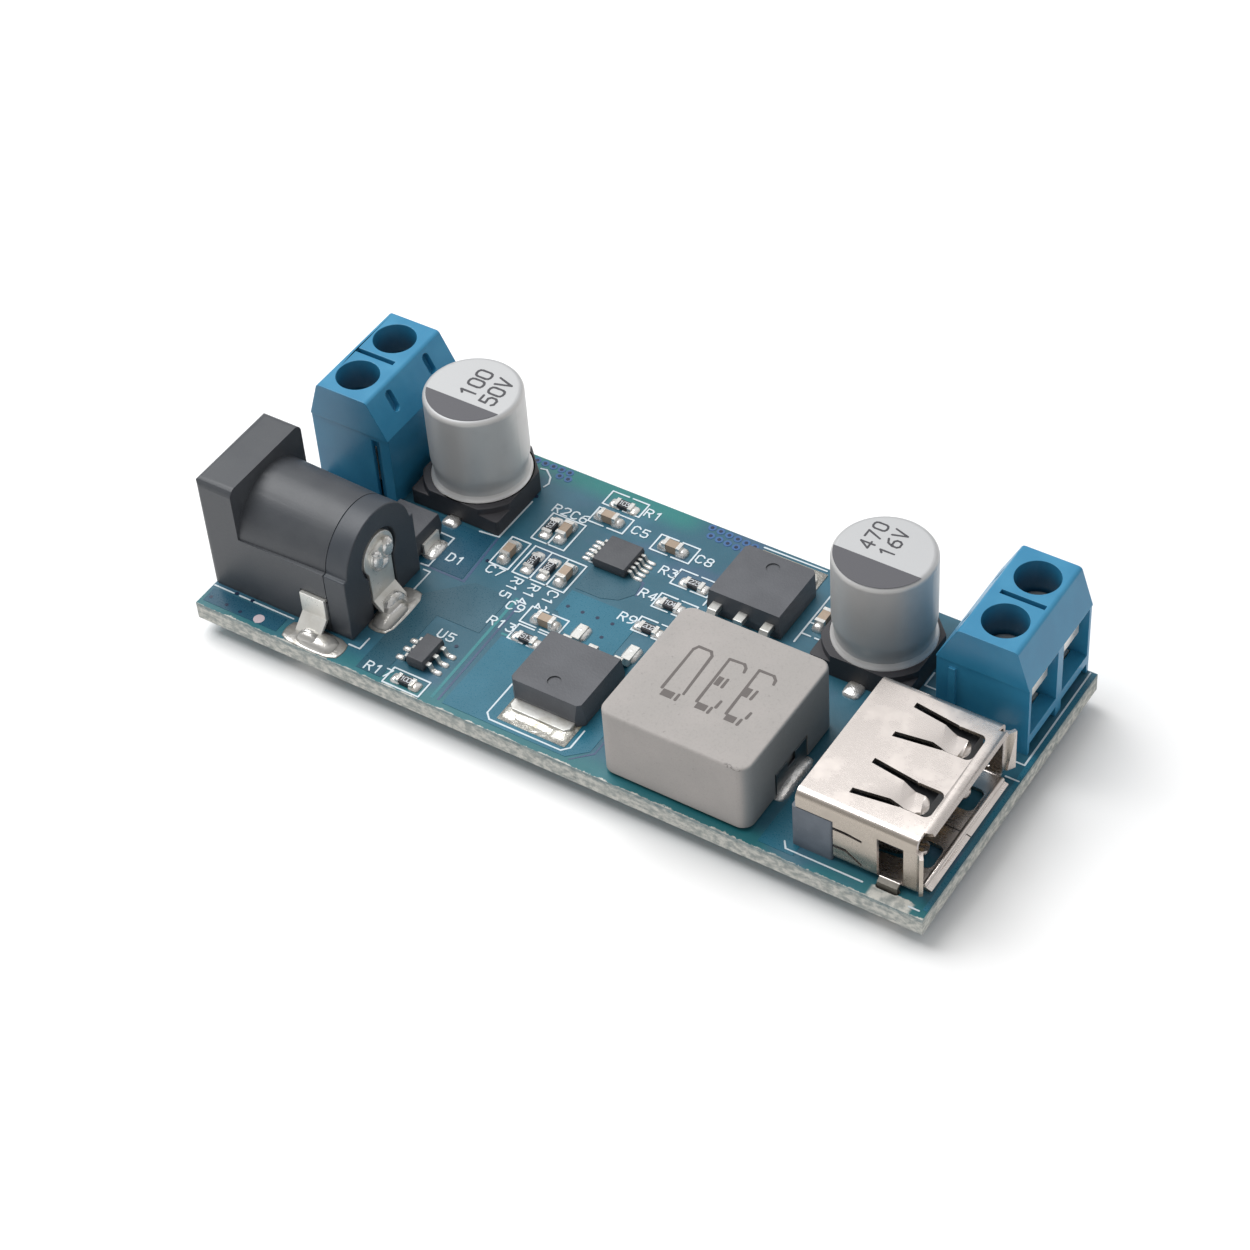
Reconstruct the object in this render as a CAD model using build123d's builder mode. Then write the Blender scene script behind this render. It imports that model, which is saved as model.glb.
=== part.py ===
"""Buck converter module: a step-down power board with a barrel jack and screw terminals in, USB and screws out.

Millimetres, +Z up.  X runs along the board from the jack end to the USB end and Y runs across it.
The origin is the board's corner beside the jack, on the underside of the board.
"""

import os
from math import cos, pi, radians, sin

from build123d import *

os.makedirs("parts", exist_ok=True)

# Board
board_length = 63.9
board_width = 27.0
board_thickness = 1.6
pin_protrusion = 1.5  # how far every soldered pin stands out under the board
hole_gap = 0.15  # radial room of a pin in its plated hole
solder_gap = 0.02  # the solder's skin around a pin
top = board_thickness
pin_end = -pin_protrusion

# Barrel jack for a 5.5 mm plug
jack_x = -0.3
jack_y = 2.6
jack_width = 9.0
jack_length = 13.55
jack_height = 10.9
jack_face_depth = 3.55
jack_face_round = 0.7
jack_shoulder_height = 6.0
jack_axis_height = 5.5
jack_barrel_front_radius = 4.4
jack_barrel_rear_radius = 4.15
jack_bore_radius = 3.15
jack_bore_depth = 9.8
jack_mouth_chamfer = 0.4
jack_cap_length = 2.0
jack_pin_radius = 1.0
jack_pin_setback = 1.4
jack_strip_width = 2.8
jack_strip_head_radius = 1.85
jack_strip_thickness = 0.4
jack_strip_kick = 0.95
jack_channel_depth = 0.45
jack_lug_kick = 1.15
jack_lug_from_face = 9.15
jack_lug_width = 2.3
jack_lug_thickness = 0.3
jack_lug_height = 3.4
jack_spring_from_face = 7.0
jack_spring_width = 1.6
jack_clearance = 0.1

# Screw terminals, two poles each; local u runs from the wire face inwards
pole_pitch = 5.0
terminal_middle_wall = 0.85
terminal_depth = 7.5
terminal_height = 10.15
terminal_shoulder_height = 6.85
terminal_front_slope = 1.05
terminal_rear_slope = 1.7
terminal_shelf_height = 1.9
terminal_shelf_thickness = 0.9
terminal_shelf_depth = 1.3
terminal_foot_depth = 6.6
terminal_mouth_depth = 0.95
terminal_cavity_depth = 5.9
terminal_well_radius = 1.75
screw_from_face = 3.3
left_wire_face_x = -0.05
left_terminal_middle_y = 21.55
right_wire_face_x = 63.1
right_terminal_middle_y = 22.08

# Clamp in each pole: nut frame, loose plate and captive screw
nut_thickness = 1.3
nut_bottom_height = 4.0
frame_sheet = 0.6
frame_front = 1.05
frame_side_gap = 0.12
frame_rear_gap = 0.2
plate_thickness = 0.3
plate_bottom_height = 2.55  # as found, part way up from the floor of the frame
plate_length = 3.4
plate_side_gap = 0.35
screw_radius = 1.25
screw_head_radius = 1.6
screw_head_height = 1.3
screw_head_bottom_height = 6.0
screw_tip_radius = 0.55
screw_tip_flare = 0.2
screw_running_gap = 0.05
slot_width = 0.5
slot_depth = 0.6
terminal_pin_size = 0.9

# Aluminium electrolytic capacitors
can_radius = 4.0
can_height = 10.4
can_foot_height = 1.25
can_neck_radius = 3.75
can_neck_height = 2.9
can_top_round = 0.45
base_size = 8.3
base_height = 1.45
base_post_height = 2.1
base_corner_cut = 2.2
base_seat_gap = 0.1
cap_lead_width = 0.9
cap_lead_thickness = 0.25
cap_lead_reach = 1.0
input_cap_centre = (12.38, 21.75)
output_cap_centre = (49.03, 21.38)

# Power inductor
inductor_x = 37.0
inductor_y = 0.75
inductor_length = 12.45
inductor_width = 12.35
inductor_height = 6.5
inductor_corner = 1.0
inductor_edge = 0.25
inductor_terminal_width = 4.3
inductor_terminal_rise = 2.4
inductor_sheet = 0.25
inductor_foot = 2.6
inductor_slit = 1.1
inductor_slit_depth = 0.8

# USB socket
usb_front_x = 62.5
usb_y = 1.6
usb_width = 13.1
usb_height = 5.72
usb_shell_length = 9.6
usb_sheet = 0.3
usb_bend = 0.7
usb_floor_height = 0.12
usb_lip_reach = 0.65
usb_lip_rise = 0.27
usb_lip_drop = 0.1
usb_tail = 0.35
usb_cheek_length = 3.0
usb_cheek_height = 4.1
usb_tongue_thickness = 1.84
usb_tongue_width = 11.1
usb_tongue_drop = 0.65
usb_tongue_setback = 1.2
usb_contact_width = 1.0
usb_contact_thickness = 0.25
usb_contact_places = (-3.5, -1.0, 1.0, 3.5)
usb_pin_size = 0.6
usb_pin_from_rear = 1.5
usb_window_back = 3.1
usb_window_length = 2.1
usb_window_bottom = 0.6
usb_window_height = 3.8
usb_leg_stand_off = 0.45
spring_root_back = 6.3
spring_root_width = 3.2
spring_end_width = 1.5
spring_slot = 0.42
spring_window_back = 2.45
spring_window_length = 2.3
spring_window_width = 2.3
spring_centre_offset = 3.05
spring_dip = 0.55

# Transistors: top face size is the body less its draft
fet_width = 6.5
fet_length = 6.0
fet_height = 2.3
fet_draft = 6.0
fet_corner = 0.6
fet_tab_width = 5.3
fet_tab_reach = 1.0
fet_sheet = 0.5
fet_lead_width = 0.8
fet_lead_pitch = 2.29
fet_lead_height = 0.85
fet_lead_reach = 3.0
fet_stub_reach = 0.9
high_fet_centre = (38.42, 21.5)
low_fet_centre = (30.38, 6.35)

# Controller and port chip
controller_centre = (26.32, 19.85)
controller_size = (3.0, 3.0, 0.95)
controller_pitch = 0.5
controller_rows = 5
controller_lead_width = 0.24
controller_span = 4.9
port_chip_centre = (19.15, 3.9)
port_chip_size = (1.6, 2.9, 1.1)
port_chip_pitch = 0.95
port_chip_rows = 3
port_chip_lead_width = 0.36
port_chip_span = 3.6
chip_lead_thickness = 0.15
chip_standoff = 0.08

# Input diode
diode_centre = (10.6, 13.9)
diode_length = 4.4
diode_width = 3.6
diode_height = 2.3
diode_terminal_width = 2.0
diode_sheet = 0.2
diode_foot = 1.1

# Chip resistors and capacitors, all 1.6 by 0.8 mm, as (x, y, turned across the board)
chip_length = 1.6
chip_width = 0.8
chip_end = 0.32
chip_plating = 0.03
resistor_height = 0.45
capacitor_height = 0.8
resistor_places = {
    "R1": (23.45, 25.2, False),
    "R2": (19.68, 20.35, True),
    "R3": (32.95, 20.3, False),
    "R4": (32.5, 17.5, False),
    "R9": (32.4, 14.55, False),
    "R13": (24.85, 9.1, False),
    "R14": (22.1, 16.35, True),
    "R15": (20.6, 16.35, True),
    "R17": (19.4, 0.95, False),
}
capacitor_places = {
    "C5": (23.2, 23.35, False),
    "C6": (21.0, 20.4, True),
    "C7": (18.4, 16.35, True),
    "C8": (29.4, 22.9, False),
    "C9": (25.15, 11.3, False),
    "C10": (43.55, 21.85, True),
    "C12": (23.65, 16.35, True),
}

# Places worked out from the sizes above
jack_middle_y = jack_y + jack_width / 2
jack_rear_x = jack_x + jack_length
jack_seam_x = jack_rear_x - jack_cap_length
jack_axis_z = top + jack_axis_height
jack_strip_x = jack_rear_x - jack_channel_depth
jack_lug_x = jack_x + jack_lug_from_face + jack_lug_width / 2
jack_spring_x = jack_x + jack_spring_from_face
terminal_width = 2 * pole_pitch
pole_offsets = (-pole_pitch / 2, pole_pitch / 2)
mouth_width = pole_pitch - terminal_middle_wall - 0.05
frame_width = mouth_width - 2 * frame_side_gap
plate_width = mouth_width - 2 * plate_side_gap
nut_top_height = nut_bottom_height + nut_thickness
frame_back = terminal_cavity_depth - frame_rear_gap
plate_top_height = plate_bottom_height + plate_thickness
head_bottom_height = screw_head_bottom_height
head_top_height = head_bottom_height + screw_head_height
usb_middle_y = usb_y + usb_width / 2
usb_rear_x = usb_front_x - usb_shell_length
usb_pin_x = usb_rear_x + usb_pin_from_rear
usb_leg_x = usb_front_x - usb_window_back + usb_window_length / 2
inductor_middle_x = inductor_x + inductor_length / 2
inductor_middle_y = inductor_y + inductor_width / 2

# Each terminal is drawn from its wire face; the right one is the left one turned half round
left_terminal_frame = Plane(origin=(left_wire_face_x, left_terminal_middle_y, top), x_dir=(1, 0, 0), z_dir=(0, 0, 1))
right_terminal_frame = Plane(origin=(right_wire_face_x, right_terminal_middle_y, top), x_dir=(-1, 0, 0), z_dir=(0, 0, 1))
terminal_frames = {"left": left_terminal_frame, "right": right_terminal_frame}


def save(piece, name):
    """Labels one finished piece and writes it."""
    piece.label = name
    export_step(piece, f"parts/{name}.step")


def placed(piece, frame):
    """A piece drawn in a frame's own directions, moved to where the frame is."""
    return piece.moved(frame.location)


def prism(x_span, y_span, z_span, mode=Mode.ADD):
    """A right-angled block between two values on each axis."""
    with BuildSketch(Plane.XY.offset(z_span[0])) as outline:
        with Locations(((x_span[0] + x_span[1]) / 2, (y_span[0] + y_span[1]) / 2)):
            Rectangle(x_span[1] - x_span[0], y_span[1] - y_span[0])
    extrude(outline.sketch, amount=z_span[1] - z_span[0], mode=mode)


def side_profile(points, y_span, mode=Mode.ADD):
    """An outline in X and Z, carried across from one Y to another."""
    plane = Plane(origin=(0, y_span[0], 0), x_dir=(1, 0, 0), z_dir=(0, -1, 0))
    with BuildSketch(plane) as outline:
        with BuildLine():
            Polyline(*points, close=True)
        make_face()
    extrude(outline.sketch, amount=y_span[1] - y_span[0], dir=(0, 1, 0), mode=mode)


def bent_sheet(points, thickness, y_span, mode=Mode.ADD):
    """A strip folded along a line in X and Z, half its thickness to each side of the line."""
    plane = Plane(origin=(0, y_span[0], 0), x_dir=(1, 0, 0), z_dir=(0, -1, 0))
    with BuildSketch(plane) as strip:
        with BuildLine() as path:
            Polyline(*points)
        trace(path.line, thickness)
    extrude(strip.sketch, amount=y_span[1] - y_span[0], dir=(0, 1, 0), mode=mode)


# Through-holes: round pins, square pins and flat tongues, as (x, y, size along X, size along Y)
terminal_pins = [
    tuple(frame.from_local_coords(Vector(screw_from_face, offset, 0)))[:2]
    for frame in terminal_frames.values()
    for offset in pole_offsets
]
usb_pins = [(usb_pin_x, usb_middle_y + offset) for offset in usb_contact_places]
usb_legs = [
    (usb_leg_x, usb_y - usb_leg_stand_off + usb_sheet / 2),
    (usb_leg_x, usb_y + usb_width + usb_leg_stand_off - usb_sheet / 2),
]
jack_rear_tail = (jack_strip_x + jack_strip_thickness / 2 + jack_strip_kick, jack_middle_y)
jack_side_tail = (jack_lug_x, jack_y - jack_lug_thickness / 2 - jack_lug_kick)
jack_under_tail = (jack_spring_x, jack_middle_y)
tongues = (
    [(x, y, terminal_pin_size, terminal_pin_size) for x, y in terminal_pins]
    + [(x, y, usb_pin_size, usb_pin_size) for x, y in usb_pins]
    + [(x, y, usb_window_length - 0.5, usb_sheet) for x, y in usb_legs]
    + [(*jack_rear_tail, jack_strip_thickness, jack_strip_width)]
    + [(*jack_side_tail, jack_lug_width, jack_lug_thickness)]
    + [(*jack_under_tail, jack_lug_thickness, jack_spring_width)]
)


def tongue_outline(size_x, size_y, room):
    """A slot with round ends that leaves the same room all round a flat pin."""
    long, short = max(size_x, size_y) + 2 * room, min(size_x, size_y) + 2 * room
    turn = 0 if size_x >= size_y else 90
    if long - short < 0.05:
        RectangleRounded(long, short, short * 0.3)
    else:
        RectangleRounded(long, short, short * 0.49, rotation=turn)


# Circuit board, drilled for every pin that passes through it
with BuildPart() as circuit_board:
    prism((0, board_length), (0, board_width), (0, board_thickness))
    with BuildSketch(Plane.XY):
        for x, y, size_x, size_y in tongues:
            with Locations((x, y)):
                tongue_outline(size_x, size_y, hole_gap)
    extrude(amount=board_thickness, mode=Mode.SUBTRACT)
save(circuit_board.part, "circuit_board")

# Solder: a cone round each pin under the board, and the pools on top at the jack's two outer tails
solder_foot = 0.75
solder_foot_small = 0.45
solder_neck = 0.12
with BuildPart() as solder_joints:
    for x, y, size_x, size_y in tongues:
        small = max(size_x, size_y) <= usb_pin_size
        with BuildSketch(Plane.XY):
            with Locations((x, y)):
                tongue_outline(size_x, size_y, solder_foot_small if small else solder_foot)
        with BuildSketch(Plane.XY.offset(-0.7 * pin_protrusion)):
            with Locations((x, y)):
                tongue_outline(size_x, size_y, solder_neck)
        loft()
    for x, y, size_x, size_y in tongues:
        with BuildSketch(Plane.XY.offset(-pin_protrusion)):
            with Locations((x, y)):
                Rectangle(size_x + 2 * solder_gap, size_y + 2 * solder_gap)
        extrude(amount=pin_protrusion, mode=Mode.SUBTRACT)
save(solder_joints.part, "solder_joints")

pool_height = 0.75
pools = ((jack_side_tail[0] + 0.7, jack_side_tail[1], 5.0, 2.4), (*jack_rear_tail, 2.5, 5.6))
with BuildPart() as solder_pools:
    for x, y, length, width in pools:
        with BuildSketch(Plane.XY.offset(top)):
            with Locations((x, y)):
                Ellipse(length / 2, width / 2)
        with BuildSketch(Plane.XY.offset(top + pool_height)):
            with Locations((x, y)):
                Ellipse(length / 3.4, width / 3.4)
        loft()
    prism(
        (jack_x, jack_rear_x + jack_clearance),
        (jack_y - jack_clearance, jack_y + jack_width),
        (top, top + pool_height),
        Mode.SUBTRACT,
    )
    lug_side, strip_side = jack_lug_thickness / 2 + solder_gap, jack_strip_thickness / 2 + solder_gap
    prism(
        (jack_side_tail[0] - jack_lug_width / 2 - solder_gap, jack_side_tail[0] + jack_lug_width / 2 + solder_gap),
        (jack_side_tail[1] - lug_side, jack_y),
        (top, top + pool_height),
        Mode.SUBTRACT,
    )
    prism(
        (jack_rear_x, jack_rear_tail[0] + strip_side),
        (jack_middle_y - jack_strip_width / 2 - solder_gap, jack_middle_y + jack_strip_width / 2 + solder_gap),
        (top, top + pool_height),
        Mode.SUBTRACT,
    )
save(solder_pools.part, "solder_pools")

# Jack housing: square mouth, half-round barrel on a square lower half, bored for the plug
axis_plane = Plane(origin=(jack_x, jack_middle_y, jack_axis_z), x_dir=(0, 1, 0), z_dir=(1, 0, 0))
with BuildPart() as jack_housing:
    prism((jack_x, jack_x + jack_face_depth), (jack_y, jack_y + jack_width), (top, top + jack_height))
    fillet(jack_housing.faces().sort_by(Axis.X)[0].edges().group_by(Axis.Z)[1:], jack_face_round)
    prism(
        (jack_x + jack_face_depth, jack_seam_x),
        (jack_y, jack_y + jack_width),
        (top, top + jack_shoulder_height),
    )
    with BuildSketch(axis_plane.offset(jack_face_depth)):
        Circle(jack_barrel_front_radius)
    with BuildSketch(axis_plane.offset(jack_seam_x - jack_x)):
        Circle(jack_barrel_rear_radius)
    loft()
    with BuildSketch(axis_plane):
        Circle(jack_bore_radius)
    extrude(amount=jack_bore_depth, mode=Mode.SUBTRACT)
    chamfer(
        jack_housing.faces().sort_by(Axis.X)[0].edges().filter_by(GeomType.CIRCLE).sort_by(SortBy.RADIUS)[0],
        jack_mouth_chamfer,
    )
    prism(
        (jack_spring_x - 3.0, jack_spring_x + jack_lug_thickness / 2 + jack_clearance),
        (jack_middle_y - jack_spring_width / 2 - jack_clearance, jack_middle_y + jack_spring_width / 2 + jack_clearance),
        (top, jack_axis_z - jack_bore_radius / 2),
        Mode.SUBTRACT,
    )
    prism(
        (jack_lug_x - jack_lug_width / 2 - jack_clearance, jack_lug_x + jack_lug_width / 2 + jack_clearance),
        (jack_y, jack_middle_y - jack_bore_radius + 0.6),
        (top + jack_lug_height - jack_lug_thickness - jack_clearance, top + jack_lug_height + jack_clearance),
        Mode.SUBTRACT,
    )
    with BuildSketch(Plane(origin=(jack_seam_x, jack_middle_y, jack_axis_z), x_dir=(0, 1, 0), z_dir=(-1, 0, 0))):
        Circle(jack_pin_radius + jack_clearance)
    extrude(amount=jack_seam_x - jack_x - jack_bore_depth, mode=Mode.SUBTRACT)
save(jack_housing.part, "jack_housing")

# Rear cap of the jack: arched top, straight sides and the channel that holds the pin's tail
with BuildPart() as jack_rear_cap:
    rear_plane = Plane(origin=(jack_seam_x, jack_middle_y, top), x_dir=(0, 1, 0), z_dir=(1, 0, 0))
    with BuildSketch(rear_plane):
        with Locations((0, jack_shoulder_height / 2)):
            Rectangle(jack_width, jack_shoulder_height)
        with Locations((0, jack_axis_height)):
            Circle(jack_barrel_rear_radius)
    extrude(amount=jack_cap_length)
    with BuildSketch(rear_plane.offset(jack_cap_length)):
        with Locations((0, jack_axis_height / 2)):
            Rectangle(jack_strip_width + 4 * jack_clearance, jack_axis_height)
        with Locations((0, jack_axis_height)):
            Circle(jack_strip_head_radius + 3 * jack_clearance)
    extrude(amount=-jack_channel_depth, mode=Mode.SUBTRACT)
    with BuildSketch(rear_plane):
        with Locations((0, jack_axis_height)):
            Circle(jack_pin_radius + jack_clearance)
    extrude(amount=jack_cap_length, mode=Mode.SUBTRACT)
save(jack_rear_cap.part, "jack_rear_cap")

# Centre pin: turned, with a round nose and a rivet head over its tail strip
pin_nose_x = jack_x + jack_pin_setback
rivet_radius = 1.25
rivet_height = 0.4
strip_outer_x = jack_strip_x + jack_strip_thickness
with BuildPart() as jack_centre_pin:
    with BuildSketch(Plane(origin=(0, jack_middle_y, jack_axis_z), x_dir=(1, 0, 0), z_dir=(0, -1, 0))):
        with BuildLine():
            Line((pin_nose_x, 0), (jack_strip_x, 0))
            Line((jack_strip_x, 0), (jack_strip_x, jack_pin_radius))
            Line((jack_strip_x, jack_pin_radius), (pin_nose_x + jack_pin_radius, jack_pin_radius))
            RadiusArc((pin_nose_x + jack_pin_radius, jack_pin_radius), (pin_nose_x, 0), -jack_pin_radius)
        make_face()
    revolve(axis=Axis((0, jack_middle_y, jack_axis_z), (1, 0, 0)))
    with BuildSketch(Plane(origin=(jack_strip_x, jack_middle_y, jack_axis_z), x_dir=(0, 1, 0), z_dir=(1, 0, 0))):
        Circle(jack_pin_radius * 0.6)
    extrude(amount=jack_strip_thickness)
    with BuildSketch(Plane(origin=(strip_outer_x, jack_middle_y, jack_axis_z), x_dir=(0, 1, 0), z_dir=(1, 0, 0))):
        Circle(rivet_radius)
    extrude(amount=rivet_height)
    fillet(jack_centre_pin.faces().sort_by(Axis.X)[-1].edges(), rivet_height * 0.8)
save(jack_centre_pin.part, "jack_centre_pin")

# Tail strip of the centre pin, hanging in the channel and kicked out into its slot in the board
with BuildPart() as jack_pin_terminal:
    tail_x = jack_rear_tail[0]
    bent_sheet(
        [
            (jack_strip_x + jack_strip_thickness / 2, jack_axis_z),
            (jack_strip_x + jack_strip_thickness / 2, top + 1.5),
            (tail_x, top + 0.5),
            (tail_x, pin_end),
        ],
        jack_strip_thickness,
        (jack_middle_y - jack_strip_width / 2, jack_middle_y + jack_strip_width / 2),
    )
    with BuildSketch(Plane(origin=(jack_strip_x, jack_middle_y, jack_axis_z), x_dir=(0, 1, 0), z_dir=(1, 0, 0))):
        Circle(jack_strip_head_radius)
    extrude(amount=jack_strip_thickness)
    with BuildSketch(Plane(origin=(jack_strip_x, jack_middle_y, jack_axis_z), x_dir=(0, 1, 0), z_dir=(1, 0, 0))):
        Circle(jack_pin_radius * 0.6 + solder_gap)
    extrude(amount=jack_strip_thickness, mode=Mode.SUBTRACT)
save(jack_pin_terminal.part, "jack_pin_terminal")

# Sleeve contact: a leaf that rises through the floor of the bore and presses the plug from below
with BuildPart() as jack_spring_contact:
    leaf_low = jack_axis_z - jack_bore_radius
    bent_sheet(
        [
            (jack_spring_x, pin_end),
            (jack_spring_x, leaf_low - 0.55),
            (jack_spring_x - 1.6, leaf_low + 0.55),
            (jack_spring_x - 2.6, leaf_low - 0.1),
        ],
        jack_lug_thickness,
        (jack_middle_y - jack_spring_width / 2, jack_middle_y + jack_spring_width / 2),
    )
save(jack_spring_contact.part, "jack_spring_contact")

# Switch contact: a lug on the jack's side whose arm enters the housing
with BuildPart() as jack_switch_contact:
    lug_plane = Plane(origin=(jack_lug_x + jack_lug_width / 2, 0, 0), x_dir=(0, 1, 0), z_dir=(1, 0, 0))
    lug_skin_y = jack_y - jack_lug_thickness / 2
    with BuildSketch(lug_plane):
        with BuildLine() as lug_path:
            Polyline(
                (jack_side_tail[1], pin_end),
                (jack_side_tail[1], top + 0.35),
                (lug_skin_y, top + 1.4),
                (lug_skin_y, top + jack_lug_height - jack_lug_thickness / 2),
                (jack_middle_y - jack_bore_radius + 0.4, top + jack_lug_height - jack_lug_thickness / 2),
            )
        trace(lug_path.line, jack_lug_thickness)
    extrude(amount=-jack_lug_width)
save(jack_switch_contact.part, "jack_switch_contact")


def terminal_housing():
    """One moulded two-pole housing, drawn from the middle of its wire face at board level."""
    half = terminal_width / 2 + 0.02
    outline = [
        (0, 0),
        (terminal_depth, 0),
        (terminal_depth, terminal_shoulder_height),
        (terminal_depth - terminal_rear_slope, terminal_height),
        (terminal_front_slope, terminal_height),
        (0, terminal_shoulder_height),
    ]
    with BuildPart() as housing:
        side_profile(outline, (-half, half))
        upper = housing.faces().sort_by(Axis.Z)[-1].edges()
        fillet(upper.filter_by(Axis.Y), 0.4)
        # A step all round under the shoulder, where the two halves of the mould met
        step = 0.12
        for side in (-1, 1):
            prism(
                (-1, terminal_depth + 1),
                (min(side * half, side * (half - step)), max(side * half, side * (half - step))),
                (0, terminal_shoulder_height - 0.1),
                Mode.SUBTRACT,
            )
        for offset in pole_offsets:
            mouth = (offset - mouth_width / 2, offset + mouth_width / 2)
            prism((0, terminal_mouth_depth), mouth, (terminal_shelf_height, terminal_shoulder_height - 0.1), Mode.SUBTRACT)
            prism((0, terminal_cavity_depth), mouth, (terminal_shelf_height, nut_top_height + 0.05), Mode.SUBTRACT)
            shelf_low = terminal_shelf_height - terminal_shelf_thickness
            prism((terminal_shelf_depth, terminal_cavity_depth), mouth, (0, terminal_shelf_height), Mode.SUBTRACT)
            prism((0, terminal_shelf_depth), mouth, (0, shelf_low), Mode.SUBTRACT)
            with BuildSketch(Plane.XY.offset(terminal_height)):
                with Locations((screw_from_face, offset)):
                    Circle(terminal_well_radius)
            extrude(amount=nut_top_height - terminal_height, mode=Mode.SUBTRACT)
        # Marking slot between the poles
        with BuildSketch(Plane.XY.offset(terminal_height)):
            with Locations((screw_from_face - 0.1, 0)):
                Rectangle(3.6, 0.42)
        extrude(amount=-1.0, mode=Mode.SUBTRACT)
        # Test notch in the rear slope behind each screw
        slope_rise = terminal_height - terminal_shoulder_height
        slope_plane = Plane(
            origin=(terminal_depth - terminal_rear_slope / 2, 0, terminal_shoulder_height + slope_rise / 2),
            x_dir=(-terminal_rear_slope, 0, slope_rise),
            z_dir=(slope_rise, 0, terminal_rear_slope),
        )
        with BuildSketch(slope_plane):
            with Locations(*[(0.35, offset) for offset in pole_offsets]):
                SlotOverall(1.9, 0.75)
        extrude(amount=-0.6, mode=Mode.SUBTRACT)
        # Dovetail rib on one end and the groove that takes it on the other
        rib_from_face, rib_width, rib_depth = 6.15, 0.75, 0.35
        prism(
            (rib_from_face - rib_width / 2, rib_from_face + rib_width / 2),
            (-half, -half + step + rib_depth),
            (0, terminal_shoulder_height - 0.6),
            Mode.SUBTRACT,
        )
        prism(
            (rib_from_face - rib_width / 2 + 0.1, rib_from_face + rib_width / 2 - 0.1),
            (half - step, half + 0.1),
            (0, terminal_shoulder_height - 0.7),
        )
    return housing.part


def clamp_frame(offset):
    """Folded contact of one pole: tapped top, back wall, floor under the wire and solder pin."""
    side = (offset - frame_width / 2, offset + frame_width / 2)
    floor_top = terminal_shelf_height
    outline = [
        (frame_front, nut_bottom_height),
        (frame_front, nut_top_height),
        (frame_back, nut_top_height),
        (frame_back, floor_top - frame_sheet),
        (terminal_shelf_depth + 0.1, floor_top - frame_sheet),
        (terminal_shelf_depth + 0.1, floor_top),
        (frame_back - frame_sheet, floor_top),
        (frame_back - frame_sheet, nut_bottom_height),
    ]
    with BuildPart() as contact:
        side_profile(outline, side)
        fillet(contact.edges().filter_by(Axis.Y).group_by(Axis.X)[-1], 0.4)
        with BuildSketch(Plane.XY.offset(nut_bottom_height)):
            with Locations((screw_from_face, offset)):
                Circle(screw_radius + screw_running_gap)
        extrude(amount=nut_thickness, mode=Mode.SUBTRACT)
        half_pin = terminal_pin_size / 2
        prism(
            (screw_from_face - half_pin, screw_from_face + half_pin),
            (offset - half_pin, offset + half_pin),
            (pin_end - top, floor_top - frame_sheet),
        )
    return contact.part


def clamp_plate(offset):
    """Loose plate that the screw carries down on to the wire, countersunk below for the peened tip."""
    with BuildPart() as plate:
        with BuildSketch(Plane.XY.offset(plate_bottom_height)):
            with Locations((screw_from_face - 0.1, offset)):
                RectangleRounded(plate_length, plate_width, 0.3)
        extrude(amount=plate_thickness)
        with BuildSketch(Plane.XZ.offset(-offset)):
            with BuildLine():
                Polyline(*tip_outline(screw_running_gap), close=True)
            make_face()
        revolve(axis=Axis((screw_from_face, offset, 0), (0, 0, 1)), mode=Mode.SUBTRACT)
    return plate.part


def tip_outline(room):
    """Half section of the screw's peened tip, with room added all round it."""
    low = plate_bottom_height
    neck = screw_tip_radius + room
    return [
        (screw_from_face, low - 0.001 * (room > 0)),
        (screw_from_face + neck + screw_tip_flare, low - 0.001 * (room > 0)),
        (screw_from_face + neck, low + screw_tip_flare),
        (screw_from_face + neck, plate_top_height + screw_running_gap),
        (screw_from_face, plate_top_height + screw_running_gap),
    ]


def clamp_screw(offset):
    """Cheese-head screw with a crossed slot and a tip peened into the clamp plate."""
    with BuildPart() as screw:
        with BuildSketch(Plane.XY.offset(head_bottom_height)):
            with Locations((screw_from_face, offset)):
                Circle(screw_head_radius)
        extrude(amount=screw_head_height)
        fillet(screw.faces().sort_by(Axis.Z)[-1].edges(), 0.2)
        with BuildSketch(Plane.XY.offset(head_top_height)):
            with Locations((screw_from_face, offset)):
                Rectangle(2 * screw_head_radius + 0.2, slot_width, rotation=35)
                Rectangle(1.7, slot_width, rotation=125)
        extrude(amount=-slot_depth, mode=Mode.SUBTRACT)
        with BuildSketch(Plane.XY.offset(plate_top_height + screw_running_gap)):
            with Locations((screw_from_face, offset)):
                Circle(screw_radius)
        extrude(amount=head_bottom_height - plate_top_height - screw_running_gap)
        with BuildSketch(Plane.XZ.offset(-offset)):
            with BuildLine():
                Polyline(*tip_outline(0), close=True)
            make_face()
        revolve(axis=Axis((screw_from_face, offset, 0), (0, 0, 1)))
    return screw.part


# Screw terminals: one housing each, and a contact, plate and screw in every pole
for side_name, frame in terminal_frames.items():
    save(placed(terminal_housing(), frame), f"{side_name}_terminal_housing")
    for number, offset in enumerate(pole_offsets, start=1):
        save(placed(clamp_frame(offset), frame), f"{side_name}_terminal_contact_{number}")
        save(placed(clamp_plate(offset), frame), f"{side_name}_clamp_plate_{number}")
        save(placed(clamp_screw(offset), frame), f"{side_name}_clamp_screw_{number}")


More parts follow.
